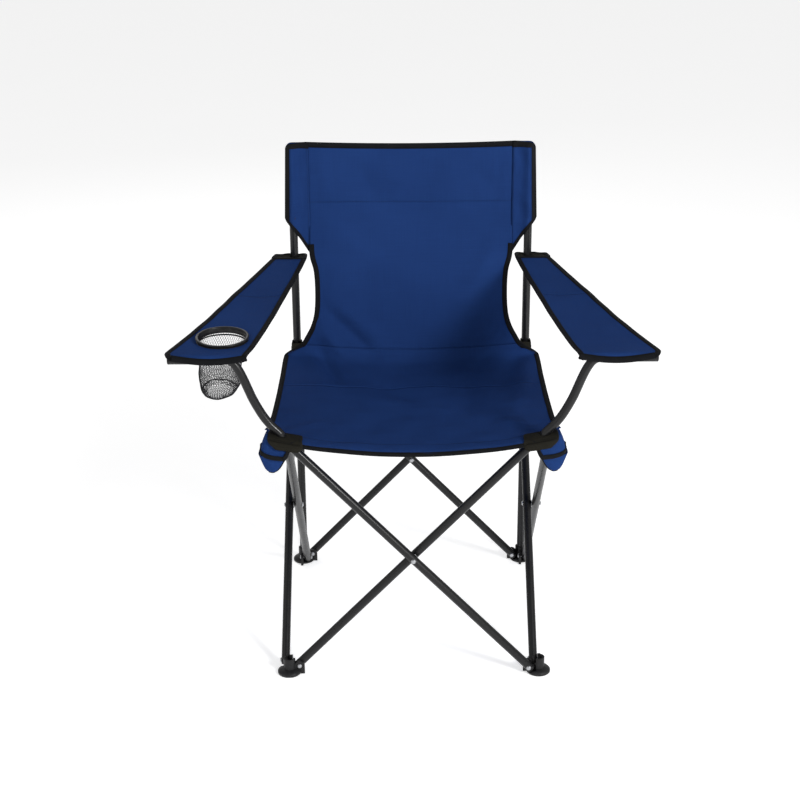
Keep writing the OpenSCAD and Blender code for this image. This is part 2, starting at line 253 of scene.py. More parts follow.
def stitches_mesh(name, path, normal, material, pitch=0.0036, length=0.0027, radius=0.0003):
    """A row of stitches: each is a short six-sided thread, arched so that its ends dip in the cloth."""
    line = spaced(np.concatenate([path, normal], axis=1), pitch)
    at, up = line[:-1, :3], unit(line[:-1, 3:])
    along = unit(line[1:, :3] - line[:-1, :3])
    side = unit(np.cross(along, up))
    s = np.array([-0.5, -0.3, 0.0, 0.3, 0.5])
    a = np.arange(6) * math.pi / 3
    arch = radius * (1 - 6 * s ** 2)
    size = radius * np.array([0.3, 0.9, 1.0, 0.9, 0.3])
    reach = (s * length)[None, :, None]
    core = at[:, None] + reach * along[:, None] + arch[None, :, None] * up[:, None]
    spin = np.cos(a)[None, :, None] * side[:, None] + np.sin(a)[None, :, None] * up[:, None]
    points = core[:, :, None, :] + size[None, :, None, None] * spin[:, None, :, :]
    one = grid_faces(5, 6, wrap_columns=True)
    ends = np.array([[0, 1, 2, 3], [0, 3, 4, 5], [27, 26, 25, 24], [29, 28, 27, 24]])
    one = np.concatenate([one, ends[:2, ::-1], ends[2:, ::-1]])
    faces = (one[None] + (np.arange(len(at)) * 30)[:, None, None]).reshape(-1, 4)
    return recalculated(make_mesh(name, points.reshape(-1, 3), faces, material))


# ---------------------------------------------------------------- materials
def new_material(name, slot):
    """Empty material with a Principled shader; slot is the record's slot that its pieces name."""
    mat = bpy.data.materials.new(name)
    mat.use_nodes = True
    mat["slot"] = slot
    tree = mat.node_tree
    shader = next(n for n in tree.nodes if n.type == "BSDF_PRINCIPLED")
    return mat, tree, shader


def node(tree, kind, values=(), **settings):
    """Adds a node, sets its attributes, and fills inputs from {socket: value or output}."""
    made = tree.nodes.new(kind)
    for key, value in settings.items():
        setattr(made, key, value)
    for socket, value in dict(values).items():
        if isinstance(value, bpy.types.NodeSocket):
            tree.links.new(value, made.inputs[socket])
        else:
            made.inputs[socket].default_value = value
    return made


def maths(tree, operation, *values):
    """One Math node's output."""
    return node(tree, "ShaderNodeMath", dict(enumerate(values)), operation=operation).outputs[0]


def mix(tree, factor, first, second):
    """Colour mix of two colours by a factor."""
    made = node(tree, "ShaderNodeMix", data_type="RGBA")
    for index, value in ((0, factor), (6, first), (7, second)):
        if isinstance(value, bpy.types.NodeSocket):
            tree.links.new(value, made.inputs[index])
        else:
            made.inputs[index].default_value = value
    return made.outputs[2]


def spread(tree, value, low, high):
    """Maps 0..1 to low..high."""
    return node(tree, "ShaderNodeMapRange", {0: value, 3: low, 4: high}).outputs[0]


def noise(tree, vector, scale, detail=3.0, rough=0.5):
    """Noise texture's factor."""
    values = {"Vector": vector, "Scale": scale, "Detail": detail, "Roughness": rough}
    return node(tree, "ShaderNodeTexNoise", values).outputs["Fac"]


def stretched(tree, vector, x, y, z=1.0):
    """A vector scaled on each axis."""
    return node(tree, "ShaderNodeMapping", {"Vector": vector, "Scale": (x, y, z)}).outputs[0]


def weave(tree, uv, pitch):
    """Plain weave height: the product of two sine waves, one each way, of one thread pitch."""
    parts = node(tree, "ShaderNodeSeparateXYZ", {0: uv})
    waves = [maths(tree, "SINE", maths(tree, "MULTIPLY", parts.outputs[k], 2 * math.pi / pitch))
             for k in (0, 1)]
    return maths(tree, "MULTIPLY", waves[0], waves[1])


def bump(tree, shader, height, distance, strength=1.0):
    """Links a height to the shader's normal."""
    made = node(tree, "ShaderNodeBump", {"Height": height, "Distance": distance, "Strength": strength})
    tree.links.new(made.outputs[0], shader.inputs["Normal"])


def cloth_material(name, slot, colour, deep, pitch, rough, relief):
    """Woven cloth: a plain weave in relief, streaks of uneven yarn each way, broad faded areas, and painted
    shade that darkens the weave's low places.
    """
    mat, tree, shader = new_material(name, slot)
    coord = node(tree, "ShaderNodeTexCoord")
    uv, place = coord.outputs["UV"], coord.outputs["Object"]
    height = weave(tree, uv, pitch)
    warp = noise(tree, stretched(tree, uv, 900, 14), 1.0, 2.0)
    weft = noise(tree, stretched(tree, uv, 14, 900), 1.0, 2.0)
    faded = noise(tree, place, 5.0, 4.0, 0.6)
    yarn = maths(tree, "MULTIPLY", maths(tree, "ADD", warp, weft), 0.5)
    shade = maths(tree, "ADD", maths(tree, "MULTIPLY", yarn, 0.55), maths(tree, "MULTIPLY", faded, 0.45))
    # Painted shade: the weave's low places take more of the deep colour and its high places more of the
    # main colour.
    shade = maths(tree, "ADD", shade, maths(tree, "MULTIPLY", height, 0.09))
    factor = spread(tree, shade, -0.55, 1.55)
    tree.links.new(mix(tree, factor, deep, colour), shader.inputs["Base Color"])
    tree.links.new(spread(tree, yarn, rough - 0.08, rough + 0.1), shader.inputs["Roughness"])
    shader.inputs["Specular IOR Level"].default_value = 0.04
    total = maths(tree, "ADD", height, maths(tree, "MULTIPLY", yarn, 1.4))
    bump(tree, shader, total, relief)
    return mat


def tape_material(name, slot, colour, light, rib):
    """Grosgrain tape: ribs across its length, a fine fuzz, slightly worn places, and painted shade that
    makes each rib's crest lighter than the valley beside it.
    """
    mat, tree, shader = new_material(name, slot)
    coord = node(tree, "ShaderNodeTexCoord")
    uv, place = coord.outputs["UV"], coord.outputs["Object"]
    parts = node(tree, "ShaderNodeSeparateXYZ", {0: uv})
    ribs = maths(tree, "SINE", maths(tree, "MULTIPLY", parts.outputs[0], 2 * math.pi / rib))
    fuzz = noise(tree, place, 1400.0, 2.0)
    worn = noise(tree, place, 38.0, 4.0, 0.7)
    # Painted shade on the ribs: each crest takes more of the lighter colour and each valley more of the
    # darker one; the worn noise adds random lighter wear.
    high = maths(tree, "ADD", maths(tree, "MULTIPLY", ribs, 0.25), maths(tree, "MULTIPLY", worn, 0.9))
    tree.links.new(mix(tree, spread(tree, high, -0.35, 1.0), colour, light), shader.inputs["Base Color"])
    tree.links.new(spread(tree, fuzz, 0.6, 0.85), shader.inputs["Roughness"])
    shader.inputs["Specular IOR Level"].default_value = 0.08
    bump(tree, shader, maths(tree, "ADD", ribs, fuzz), 0.00012)
    return mat


def enamel_material(name, slot, colour, rough, shine):
    """Powder coat: an orange peel relief, a few dull rubbed places, and fine dust specks."""
    mat, tree, shader = new_material(name, slot)
    place = node(tree, "ShaderNodeTexCoord").outputs["Object"]
    peel = noise(tree, place, 420.0, 2.0)
    rub = noise(tree, place, 22.0, 5.0, 0.65)
    specks = noise(tree, place, 900.0, 1.0)
    tree.links.new(spread(tree, rub, rough * 0.7, rough * 1.6), shader.inputs["Roughness"])
    lighter = tuple(min(c * 2.6 + 0.004, 1) for c in colour[:3]) + (1,)
    dust = maths(tree, "MULTIPLY", maths(tree, "POWER", specks, 4.0), 1.6)
    tree.links.new(mix(tree, dust, colour, lighter), shader.inputs["Base Color"])
    shader.inputs["Specular IOR Level"].default_value = shine
    bump(tree, shader, peel, 0.00004)
    return mat


def nylon_material(name, slot, colour, rough):
    """Moulded plastic: a fine spark-eroded grain, flow marks in the gloss, and pale scuffs."""
    mat, tree, shader = new_material(name, slot)
    place = node(tree, "ShaderNodeTexCoord").outputs["Object"]
    grain = noise(tree, place, 1600.0, 2.0)
    flow = noise(tree, stretched(tree, place, 30, 30, 90), 1.0, 3.0)
    scuff = noise(tree, place, 140.0, 5.0, 0.75)
    pale = tuple(min(c * 3.0 + 0.01, 1) for c in colour[:3]) + (1,)
    mark = maths(tree, "POWER", scuff, 5.0)
    tree.links.new(mix(tree, maths(tree, "MULTIPLY", mark, 3.0), colour, pale), shader.inputs["Base Color"])
    tree.links.new(spread(tree, flow, rough - 0.1, rough + 0.15), shader.inputs["Roughness"])
    shader.inputs["Specular IOR Level"].default_value = 0.25
    bump(tree, shader, maths(tree, "ADD", grain, maths(tree, "MULTIPLY", mark, -2.0)), 0.00005)
    return mat


def zinc_material(name, slot, colour):
    """Zinc plate: cloudy grain in the gloss and in the colour, with fine turning marks."""
    mat, tree, shader = new_material(name, slot)
    place = node(tree, "ShaderNodeTexCoord").outputs["Object"]
    cloud = noise(tree, place, 320.0, 4.0, 0.6)
    marks = noise(tree, stretched(tree, place, 300, 300, 3000), 1.0, 2.0)
    dull = tuple(c * 0.55 for c in colour[:3]) + (1,)
    tree.links.new(mix(tree, cloud, dull, colour), shader.inputs["Base Color"])
    tree.links.new(spread(tree, cloud, 0.22, 0.5), shader.inputs["Roughness"])
    shader.inputs["Metallic"].default_value = 1.0
    bump(tree, shader, marks, 0.00003)
    return mat


def floor_material(name, colour):
    """Pale studio floor: nearly white, with a faint unevenness."""
    mat, tree, shader = new_material(name, "")
    place = node(tree, "ShaderNodeTexCoord").outputs["Object"]
    patch = noise(tree, place, 1.5, 3.0)
    darker = tuple(c * 0.985 for c in colour[:3]) + (1,)
    tree.links.new(mix(tree, patch, darker, colour), shader.inputs["Base Color"])
    shader.inputs["Roughness"].default_value = 0.9
    shader.inputs["Specular IOR Level"].default_value = 0.1
    shader.inputs["Emission Color"].default_value = (1, 1, 1, 1)
    shader.inputs["Emission Strength"].default_value = 0.48
    return mat


# ---------------------------------------------------------------- settings
class ClothSettings(bpy.types.PropertyGroup):
    """Sizes and colours of the blue cloth."""
    colour: bpy.props.FloatVectorProperty(
        name="Colour", description="Cloth's colour", subtype="COLOR", size=4, min=0, max=1,
        default=(0.0150, 0.0460, 0.1750, 1))
    # The deep colour is partly random yarn tone and partly painted shade in the weave's low places between
    # the threads.
    deep: bpy.props.FloatVectorProperty(
        name="Deep colour", description="Cloth's colour between its threads", subtype="COLOR", size=4,
        min=0, max=1, default=(0.0095, 0.0300, 0.1200, 1))
    thick: bpy.props.FloatProperty(
        name="Thickness", description="Thickness of the cloth", default=0.0009, unit="LENGTH")
    pitch: bpy.props.FloatProperty(
        name="Weave pitch", description="Length of one repeat of the weave", default=0.0011, unit="LENGTH")
    wrinkle: bpy.props.FloatProperty(
        name="Wrinkles", description="Share of the full depth of the wrinkles", default=1.0, min=0, max=2,
        subtype="FACTOR")


class TrimSettings(bpy.types.PropertyGroup):
    """Sizes and colours of the tape, webbing, thread and net."""
    tape: bpy.props.FloatVectorProperty(
        name="Tape colour", description="Colour of the binding tape", subtype="COLOR", size=4, min=0,
        max=1, default=(0.006, 0.0065, 0.008, 1))
    patch: bpy.props.FloatVectorProperty(
        name="Patch colour", description="Colour of the reinforcing patches", subtype="COLOR", size=4,
        min=0, max=1, default=(0.018, 0.017, 0.014, 1))
    tape_width: bpy.props.FloatProperty(
        name="Tape width", description="How far the tape reaches in from the edge", default=0.008,
        unit="LENGTH")
    net: bpy.props.FloatVectorProperty(
        name="Net colour", description="Colour of the netting's thread", subtype="COLOR", size=4, min=0,
        max=1, default=(0.02, 0.02, 0.022, 1))


class FrameSettings(bpy.types.PropertyGroup):
    """Finishes of the frame."""
    steel: bpy.props.FloatVectorProperty(
        name="Tube colour", description="Colour of the powder coat", subtype="COLOR", size=4, min=0, max=1,
        default=(0.0065, 0.0065, 0.007, 1))
    steel_rough: bpy.props.FloatProperty(
        name="Tube roughness", description="Roughness of the powder coat", default=0.24, min=0, max=1,
        subtype="FACTOR")
    moulded: bpy.props.FloatVectorProperty(
        name="Moulding colour", description="Colour of the feet, hubs, sliders and plugs", subtype="COLOR",
        size=4, min=0, max=1, default=(0.0085, 0.0085, 0.009, 1))
    zinc: bpy.props.FloatVectorProperty(
        name="Rivet colour", description="Colour of the rivets' plating", subtype="COLOR", size=4, min=0,
        max=1, default=(0.55, 0.56, 0.58, 1))


class StageSettings(bpy.types.PropertyGroup):
    """Camera and light."""
    rise: bpy.props.FloatProperty(
        name="Camera rise", description="Angle of the camera above level", default=math.radians(20.95),
        subtype="ANGLE")
    turn: bpy.props.FloatProperty(
        name="Camera turn", description="Angle of the camera round the chair", default=math.radians(0.16),
        subtype="ANGLE")
    roll: bpy.props.FloatProperty(
        name="Camera roll", description="Turn of the camera about its view", default=math.radians(-0.41),
        subtype="ANGLE")
    away: bpy.props.FloatProperty(
        name="Camera distance", description="Distance from the aim to the camera", default=2.789,
        unit="LENGTH")
    lens: bpy.props.FloatProperty(
        name="Lens", description="Focal length on a 36 mm frame, in millimetres", default=69.5)
    aim_x: bpy.props.FloatProperty(
        name="Aim across", description="Where the camera aims, across the chair", default=-0.0219,
        unit="LENGTH")
    aim_z: bpy.props.FloatProperty(
        name="Aim height", description="Where the camera aims, above the floor", default=0.4312,
        unit="LENGTH")
    key: bpy.props.FloatProperty(
        name="Key light", description="Power of the key light, in watts", default=95.0)
    fill: bpy.props.FloatProperty(
        name="Fill light", description="Power of the fill light, in watts", default=12.0)
    sky: bpy.props.FloatProperty(
        name="Surround", description="Strength of the even light from all round", default=0.62)
    floor: bpy.props.FloatVectorProperty(
        name="Floor colour", description="Colour of the floor", subtype="COLOR", size=4, min=0, max=1,
        default=(0.93, 0.93, 0.93, 1))


GROUPS = {"chair_cloth": ClothSettings, "chair_trim": TrimSettings, "chair_frame": FrameSettings,
          "chair_stage": StageSettings}
MATERIALS = {}


def settings(name):
    """One of the scene's property groups."""
    return getattr(bpy.context.scene, name)


def materials():
    """Every finish of the chair, made once."""
    if MATERIALS:
        return MATERIALS
    cloth, trim, metal = settings("chair_cloth"), settings("chair_trim"), settings("chair_frame")
    # The cloth and webbing take their deeper colour in random yarn streaks and faded areas, and as painted
    # shade in the weave's low places.
    MATERIALS["cloth"] = cloth_material("blue woven polyester", "blue_cloth", cloth.colour, cloth.deep,
                                        cloth.pitch, 0.82, 0.00016)
    # The tape, thread and net take their lighter colour on random worn places and, as painted shade, on the
    # crests of their ribs.
    MATERIALS["tape"] = tape_material("black binding tape", "webbing", trim.tape, (0.011, 0.011, 0.012, 1),
                                      0.0008)
    MATERIALS["patch"] = cloth_material("black reinforcing webbing", "webbing", trim.patch,
                                        (0.016, 0.015, 0.011, 1), 0.0019, 0.8, 0.0003)
    MATERIALS["thread"] = tape_material("black sewing thread", "webbing", (0.006, 0.006, 0.007, 1),
                                        (0.02, 0.02, 0.022, 1), 0.0004)
    MATERIALS["blue thread"] = tape_material("navy sewing thread", "blue_cloth", (0.006, 0.014, 0.05, 1),
                                             (0.015, 0.035, 0.11, 1), 0.0004)
    MATERIALS["net"] = tape_material("black netting", "netting", trim.net, (0.06, 0.06, 0.065, 1), 0.0006)
    MATERIALS["steel"] = enamel_material("black powder coat", "black_steel", metal.steel,
                                         metal.steel_rough, 0.28)
    MATERIALS["moulded"] = nylon_material("black moulded nylon", "moulding", metal.moulded, 0.42)
    MATERIALS["ring"] = nylon_material("black cup ring", "cup_ring", metal.moulded, 0.3)
    MATERIALS["zinc"] = zinc_material("zinc plate", "rivet", metal.zinc)
    return MATERIALS


def mounted(obj, body, replaced=()):
    """Rides a piece on a body and hides the nodes that it stands for."""
    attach(obj, body)
    if replaced:
        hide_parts(*replaced)
    return obj


def gathered(pieces):
    """Gives each piece a mesh of its own."""
    for piece in pieces:
        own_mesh(piece)


# ---------------------------------------------------------------- sling
# The sling's shape from the top of the back to the front hem. Each row holds the middle line's Y and
# Z, the side edge's Y and Z, and the half width, in millimetres.
SLING_ROWS = np.array([
    (221, 852, 221, 855.5, 190), (221, 800, 221, 802, 190), (221, 750, 221, 750, 190),
    (220.5, 700, 220.5, 700, 190), (217, 645, 215.5, 645, 190), (212.5, 613, 209.5, 613, 182.5),
    (207.5, 575, 204, 575, 180.5), (203.5, 535, 200.5, 536, 182.5), (200.5, 508, 198.5, 510, 189),
    (196.5, 486, 198, 489, 199.5), (189, 463, 199, 470, 212), (175, 449, 201, 452, 239),
    (152, 440, 186, 446, 244), (100, 434.5, 110, 441.5, 244), (60, 432.5, 60, 440.5, 244),
    (0, 430, 0, 440, 244), (-100, 428.5, -100, 441, 245), (-160, 428, -160, 445, 247),
    (-200, 428.5, -201, 455, 251), (-222, 429, -223, 458, 254), (-234, 427, -236, 457, 255),
    (-238.5, 422, -241, 454, 255)]) * MM
ROW_STEPS = 40                        # points of SLING from each row to the next
SLING = smooth_through(SLING_ROWS, ROW_STEPS * (len(SLING_ROWS) - 1) + 1)
SLING_DOWN = np.concatenate([[0], np.cumsum(np.hypot(*np.diff(SLING[:, :2], axis=0).T))])
ROW_DOWN = SLING_DOWN[::ROW_STEPS]
SEAT_FROM = 300                       # point of SLING, low on the back, from which Y finds the seat
BAND_DOWN = 0.110                     # the back is double from its top down to this seam
HINGE_DOWN = float(ROW_DOWN[10])      # where the back ends and the seat begins
CREASE_DOWN = float(ROW_DOWN[14])
SEAT_DOWN = float(ROW_DOWN[-1])
NOTCH_Y = -0.194                      # the seat is cut back in front of this, beside its corners
NOTCH_X = 0.203
SLING_COLUMNS = 121                   # points across the sling
SEWN_IN = 0.002                       # from a side tape's inner edge to the stitches that hold it
# Wrinkles: across and down the sling from the top, to the same, half width and height.
WRINKLES = np.array([
    (-178, 296, -56, 420, 11, -5.0), (-170, 276, -40, 395, 16, 3.4), (-186, 372, -128, 520, 12, -6.5),
    (-186, 330, -96, 460, 13, 4.6), (-206, 392, -150, 540, 15, 3.8), (-100, 470, 20, 610, 20, -3.4),
    (-130, 560, 30, 640, 26, 3.0), (176, 292, 128, 398, 15, 3.6), (186, 330, 104, 470, 15, -5.4),
    (160, 352, 60, 520, 20, 3.4), (206, 392, 150, 560, 18, -4.0), (226, 420, 186, 640, 16, 3.4),
    (120, 470, 90, 700, 22, -3.6), (40, 440, 60, 660, 26, 2.4), (200, 560, 150, 760, 22, 3.0),
    (-120, 10, -60, 112, 18, -2.4), (-170, 20, -150, 108, 14, 1.8), (-60, 30, 10, 106, 26, 1.8),
    (120, 40, 168, 110, 16, -2.8), (60, 14, 90, 112, 20, 1.8), (172, 10, 160, 100, 10, -1.8),
    (-176, 124, -60, 250, 24, 2.6), (176, 124, 70, 260, 22, -2.8), (176, 170, 90, 300, 16, 2.2),
    (-30, 130, 10, 340, 30, 2.4), (80, 130, 60, 340, 26, -2.2), (-100, 170, -70, 350, 20, -1.8),
    (-226, 775, -150, 690, 14, 3.2), (226, 775, 150, 690, 14, 3.2), (-190, 808, -90, 790, 12, -1.8),
    (190, 808, 90, 790, 12, -1.8), (-60, 640, -80, 790, 26, -2.2), (30, 640, 50, 800, 26, 1.8)]) * MM


def wrinkled(across, down):
    """Sum of soft ridges and of faint ripples.

    A ridge is a Gaussian across its line, faded to nothing at the line's two ends. Below the double
    band's seam the cloth steps back by one layer.
    """
    total = np.zeros(np.broadcast(across, down).shape)
    for x0, v0, x1, v1, width, height in WRINKLES:
        run = np.array([x1 - x0, v1 - v0])
        span = np.hypot(*run)
        t = ((across - x0) * run[0] + (down - v0) * run[1]) / span ** 2
        off = ((across - x0) * run[1] - (down - v0) * run[0]) / span
        total += height * np.clip(t * (1 - t) * 4, 0, 1) * np.exp(-(off / width) ** 2)
    total += 0.0006 * (np.sin(across * 61 + down * 23 + 2.2 * np.sin(down * 17))
                       + 0.6 * np.sin(across * 37 - down * 71 + 1) + 0.4 * np.sin(down * 130 + across * 19))
    step = 0.00035 * (1 - np.tanh((down - BAND_DOWN) / 0.0016))
    pucker = -0.0007 * np.exp(-((down - BAND_DOWN) / 0.0035) ** 2)
    return settings("chair_cloth").wrinkle * total + step + pucker


def sling_at(across, down):
    """Points of the sling, with across in metres from the middle: in each row the shape goes from the
    middle line to the edge as the square of the share of the half width, and wrinkles stand off it."""
    y0, z0, y1, z1, half = (np.interp(down, SLING_DOWN, SLING[:, k]) for k in range(5))
    share = (across / half) ** 2
    flat = np.stack([across, y0 + (y1 - y0) * share, z0 + (z1 - z0) * share], -1)
    rim = np.clip((half - np.abs(across)) / 0.024, 0, 1) * np.clip(down / 0.02, 0, 1)
    return flat + sling_normal(across, down) * (wrinkled(across, down) * rim)[..., None]


def sling_normal(across, down):
    """Direction off the sling's upper side, from two small steps along it."""
    y0, z0, y1, z1, half = (np.interp(down, SLING_DOWN, SLING[:, k]) for k in range(5))
    step = 0.004
    a0, b0, a1, b1 = (np.interp(down + step, SLING_DOWN, SLING[:, k])
                      - np.interp(down - step, SLING_DOWN, SLING[:, k]) for k in range(4))
    share = (across / half) ** 2
    slope = 2 * across / half ** 2
    side = np.stack([np.ones_like(share), (y1 - y0) * slope, (z1 - z0) * slope], -1)
    along = np.stack([0 * share, a0 + (a1 - a0) * share, b0 + (b1 - b0) * share], -1)
    return unit(np.cross(along, side))


def sling_half(down):
    """Half width of the sling's cut, which is narrower in front of the notches for its corners."""
    half = np.interp(down, SLING_DOWN, SLING[:, 4])
    notch = np.interp(-NOTCH_Y, -SLING[SEAT_FROM:, 0], SLING_DOWN[SEAT_FROM:])
    return np.where(down > notch, NOTCH_X, half)


def sling_grid(from_down, to_down, columns):
    """Grid of one part of the sling, with its UV in metres across and down."""
    count = max(int(round((to_down - from_down) / CLOTH_STEP)), 2) + 1
    down = np.linspace(from_down, to_down, count)[:, None] + np.zeros((1, columns))
    across = np.linspace(-1, 1, columns)[None, :] * sling_half(down)
    return sling_at(across, down), np.stack([across, down], -1)


def sling_part(name, from_down, to_down, body, node_name):
    """One part of the sling with its side tapes and the stitches along them."""
    cloth, mats = settings("chair_cloth"), materials()
    grid, uv = sling_grid(from_down, to_down, SLING_COLUMNS)
    off = sling_normal(uv[..., 0], uv[..., 1])
    part = sheet_mesh(name, grid, uv, mats["cloth"], cloth.thick, off=off)
    mounted(part, body, [node_name])
    trims = []
    starts = max(from_down, BACK_TOP - SLEEVE_LOW - 0.002)
    ends = min(to_down, SEAT_DOWN - 0.062)
    down = np.linspace(starts, ends, max(int((ends - starts) / 0.003), 4))
    half = sling_half(down)
    width = settings("chair_trim").tape_width
    for side, word in ((-1, "left"), (1, "right")):
        edge, inside = sling_at(side * half, down), sling_at(side * (half - 0.006), down)
        up = sling_normal(side * half, down)
        trims.append(tape_mesh(f"{name}_tape_{word}", edge, inside, up, width))
        sewn = sling_at(side * (half - width + SEWN_IN), down) + up * SEWN_LIFT
        trims.append(stitches_mesh(f"{name}_stitches_{word}", sewn, up, mats["thread"]))
    for trim in trims:
        mounted(trim, body)
    return part, uv, trims


class BackOperator(bpy.types.Operator):
    """Back of the sling, between the post sleeves, with its tape and seams"""
    bl_idname = "chair.back"
    bl_label = "Back"

    def execute(self, context):
        mats = materials()
        back, uv, trims = sling_part("back_cloth", 0, HINGE_DOWN, "frame_left", "back_panel")
        across = np.linspace(-SEAM_X, SEAM_X, 90)
        down = 0 * across
        up = sling_normal(across, down)
        inside = sling_at(across, down + 0.006)
        tape = tape_mesh("back_top_tape", sling_at(across, down), inside, up, 0.009, 0.0016, 0.0012)
        rows = [tape]
        for name, depth, lift in (("band", BAND_DOWN - 0.002, 0.0012), ("top", 0.0072, 0.0018)):
            sewn = sling_at(across, down + depth) + up * lift
            thread = mats["blue thread" if name == "band" else "thread"]
            rows.append(stitches_mesh(f"back_{name}_stitches", sewn, up, thread))
        for piece in rows:
            mounted(piece, "frame_left")
        gathered([back, *trims, *rows])
        return {"FINISHED"}


class SeatOperator(bpy.types.Operator):
    """Seat of the sling, in the two halves that fold down, with its front hem"""
    bl_idname = "chair.seat"
    bl_label = "Seat"

    def execute(self, context):
        mats = materials()
        rear, uv, trims = sling_part("seat_cloth_rear", HINGE_DOWN, CREASE_DOWN, "seat_rear", "seat_rear")
        gathered([rear, *trims])
        front, uv, trims = sling_part("seat_cloth_front", CREASE_DOWN, SEAT_DOWN, "seat_front",
                                      "seat_front")
        across = np.linspace(-NOTCH_X, NOTCH_X, 90)
        down = 0 * across + SEAT_DOWN
        up = sling_normal(across, down - 0.003)
        hem = tape_mesh("seat_hem_tape", sling_at(across, down), sling_at(across, down - 0.006), up,
                        settings("chair_trim").tape_width * 0.75)
        trims.append(mounted(hem, "seat_front"))
        for name, depth in (("hem", 0.006), ("front", 0.034)):
            up = sling_normal(across, down - depth)
            thread = mats["thread" if name == "hem" else "blue thread"]
            line = sling_at(across, down - depth) + up * 0.0012
            sewn = stitches_mesh(f"seat_{name}_stitches", line, up, thread)
            trims.append(mounted(sewn, "seat_front"))
        gathered([front, *trims])
        return {"FINISHED"}


# ---------------------------------------------------------------- post sleeves
# Sleeve's lower edge, from its seam outwards: X and Z in millimetres.
SLEEVE_FOOT = np.array([(187, 640), (190, 645), (197, 657.5), (205, 672), (212, 684), (219, 693.5),
                        (226, 702), (231, 707.5), (233, 711)]) * MM
SLEEVE_IN = SEAM_X - 0.002            # the sleeve laps over the back's edge up to here
SLEEVE_UP = BACK_TOP + 0.004          # top of a sleeve, which the post's cap pushes up
BULGE_W = 0.0095                      # how far the pocket's swell reaches each side of the post
SLEEVE_BAND = 0.009 / 0.165           # share of a sleeve's height that its tape covers
SLEEVE_POINTS = 31                    # points across each face of a sleeve


def sleeve_at(x, t, face, stand=0.0):
    """Points of a right sleeve, x across, t from 0 at its lower edge to 1 at its top.

    Each face stands off the post's plane by a Gaussian swell round the post, which closes over the
    post's cap as a fourth-power curve. The lower edge slants, the outer corner at the top is an arc,
    and the outer edge flares a little towards the bottom.
    """
    out = np.clip((x - (SLEEVE_X - 0.010)) / 0.010, 0, 1)
    high = SLEEVE_UP - 0.0025 * (x - SEAM_X) / 0.04 - 0.010 * (1 - np.sqrt(1 - out ** 2 * 0.96))
    low = np.interp(x, SLEEVE_FOOT[:, 0], SLEEVE_FOOT[:, 1]) + 0.003 * out ** 4
    z = low + (high - low) * t
    wide = SEAM_X + (x - SEAM_X) * (0.94 + 0.12 * (SLEEVE_UP - z) / 0.145)
    dome = (1 - np.clip((z - (BACK_TOP - 0.012)) / 0.0155, 0, 1) ** 4) ** 0.5
    swell = 0.0082 * np.exp(-((wide - HALF) / BULGE_W) ** 2) * dome
    edge = np.clip((SLEEVE_X - x) / 0.007, 0, 1) ** 0.5 * np.clip((x - SLEEVE_IN) / 0.006, 0, 1) ** 0.5
    crease = 0.0011 * np.sin(z * 95 + x * 160) * np.sin(z * 31 + 1) * edge
    off = 0.0010 + (swell + crease) * edge + stand
    return np.stack(np.broadcast_arrays(wide, HALF + 0.001 + face * off, z), -1)


def sleeve_loop(count):
    """Once round a sleeve: X goes out along the front and back along the rear, closer at the edge."""
    a = np.linspace(0, 1, count)
    x = SLEEVE_IN + (SLEEVE_X - SLEEVE_IN) * np.sin(a * math.pi / 2) ** 0.8
    return np.concatenate([x, x[-2:0:-1]]), np.concatenate([-np.ones(count), np.ones(count - 2)])


def sleeve_piece(name, side, pick, rows_t, material, stand):
    """Part of a sleeve as a closed sheet: pick chooses points of the loop, rows_t the heights."""
    x, face = sleeve_loop(SLEEVE_POINTS)
    wrap = pick is None
    if not wrap:
        x, face = x[pick], face[pick]
    grid = sleeve_at(x[:, None], rows_t[None, :], face[:, None], stand) * np.array([side, 1, 1])
    run = np.concatenate([[0], np.cumsum(np.hypot(*np.diff(np.stack([x, face * 0.004]), axis=1)))])
    uv = np.stack(np.broadcast_arrays(run[:, None], grid[..., 2]), -1)
    if side < 0:
        grid, uv = grid[::-1], uv[::-1]
    return recalculated(sheet_mesh(name, grid, uv, material, 0.0008, wrap)), uv


class SleevesOperator(bpy.types.Operator):
    """Sleeves that drop over the back posts, with their tape"""
    bl_idname = "chair.sleeves"
    bl_label = "Post sleeves"

    def execute(self, context):
        mats = materials()
        for side, word in ((-1, "left"), (1, "right")):
            body = "frame_" + word
            heights = np.linspace(0, 1, 60)
            sleeve, uv = sleeve_piece("sleeve_" + word, side, None, heights, mats["cloth"], 0)
            mounted(sleeve, body, ["back_sleeve_" + word])
            outer = np.nonzero(sleeve_loop(SLEEVE_POINTS)[0] > SLEEVE_X - 0.0085)[0]
            bands = (("side", outer, heights, 0.0009),
                     ("top", None, np.linspace(1 - SLEEVE_BAND, 1.003, 8), 0.0010),
                     ("low", None, np.linspace(-0.004, SLEEVE_BAND, 6), 0.0008))
            for part, pick, rows, stand in bands:
                name = f"sleeve_{part}_tape_{word}"
                band, _ = sleeve_piece(name, side, pick, rows, mats["tape"], stand)
                mounted(band, body)
            up = np.tile([0, -1.0, 0], (60, 1))
            for part, at in (("seam", SEAM_X + 0.001), ("edge", SLEEVE_X - 0.0095)):
                t = np.linspace(0.03, 0.96, 60)
                line = sleeve_at(at + 0 * t, t, -1, 0.0016) * np.array([side, 1, 1])
                thread = mats["blue thread" if part == "seam" else "thread"]
                sewn = stitches_mesh(f"sleeve_{part}_stitches_{word}", line, up, thread)
                mounted(sewn, body)
        return {"FINISHED"}


# ---------------------------------------------------------------- seat corners
CORNER_HOLE = TUBE_R + 0.0012
HEM_Z = 0.424                         # lower edge of a corner's turned-down sides
SQUARENESS = 7                        # power of a rounded outline: 2 is an ellipse, more is squarer


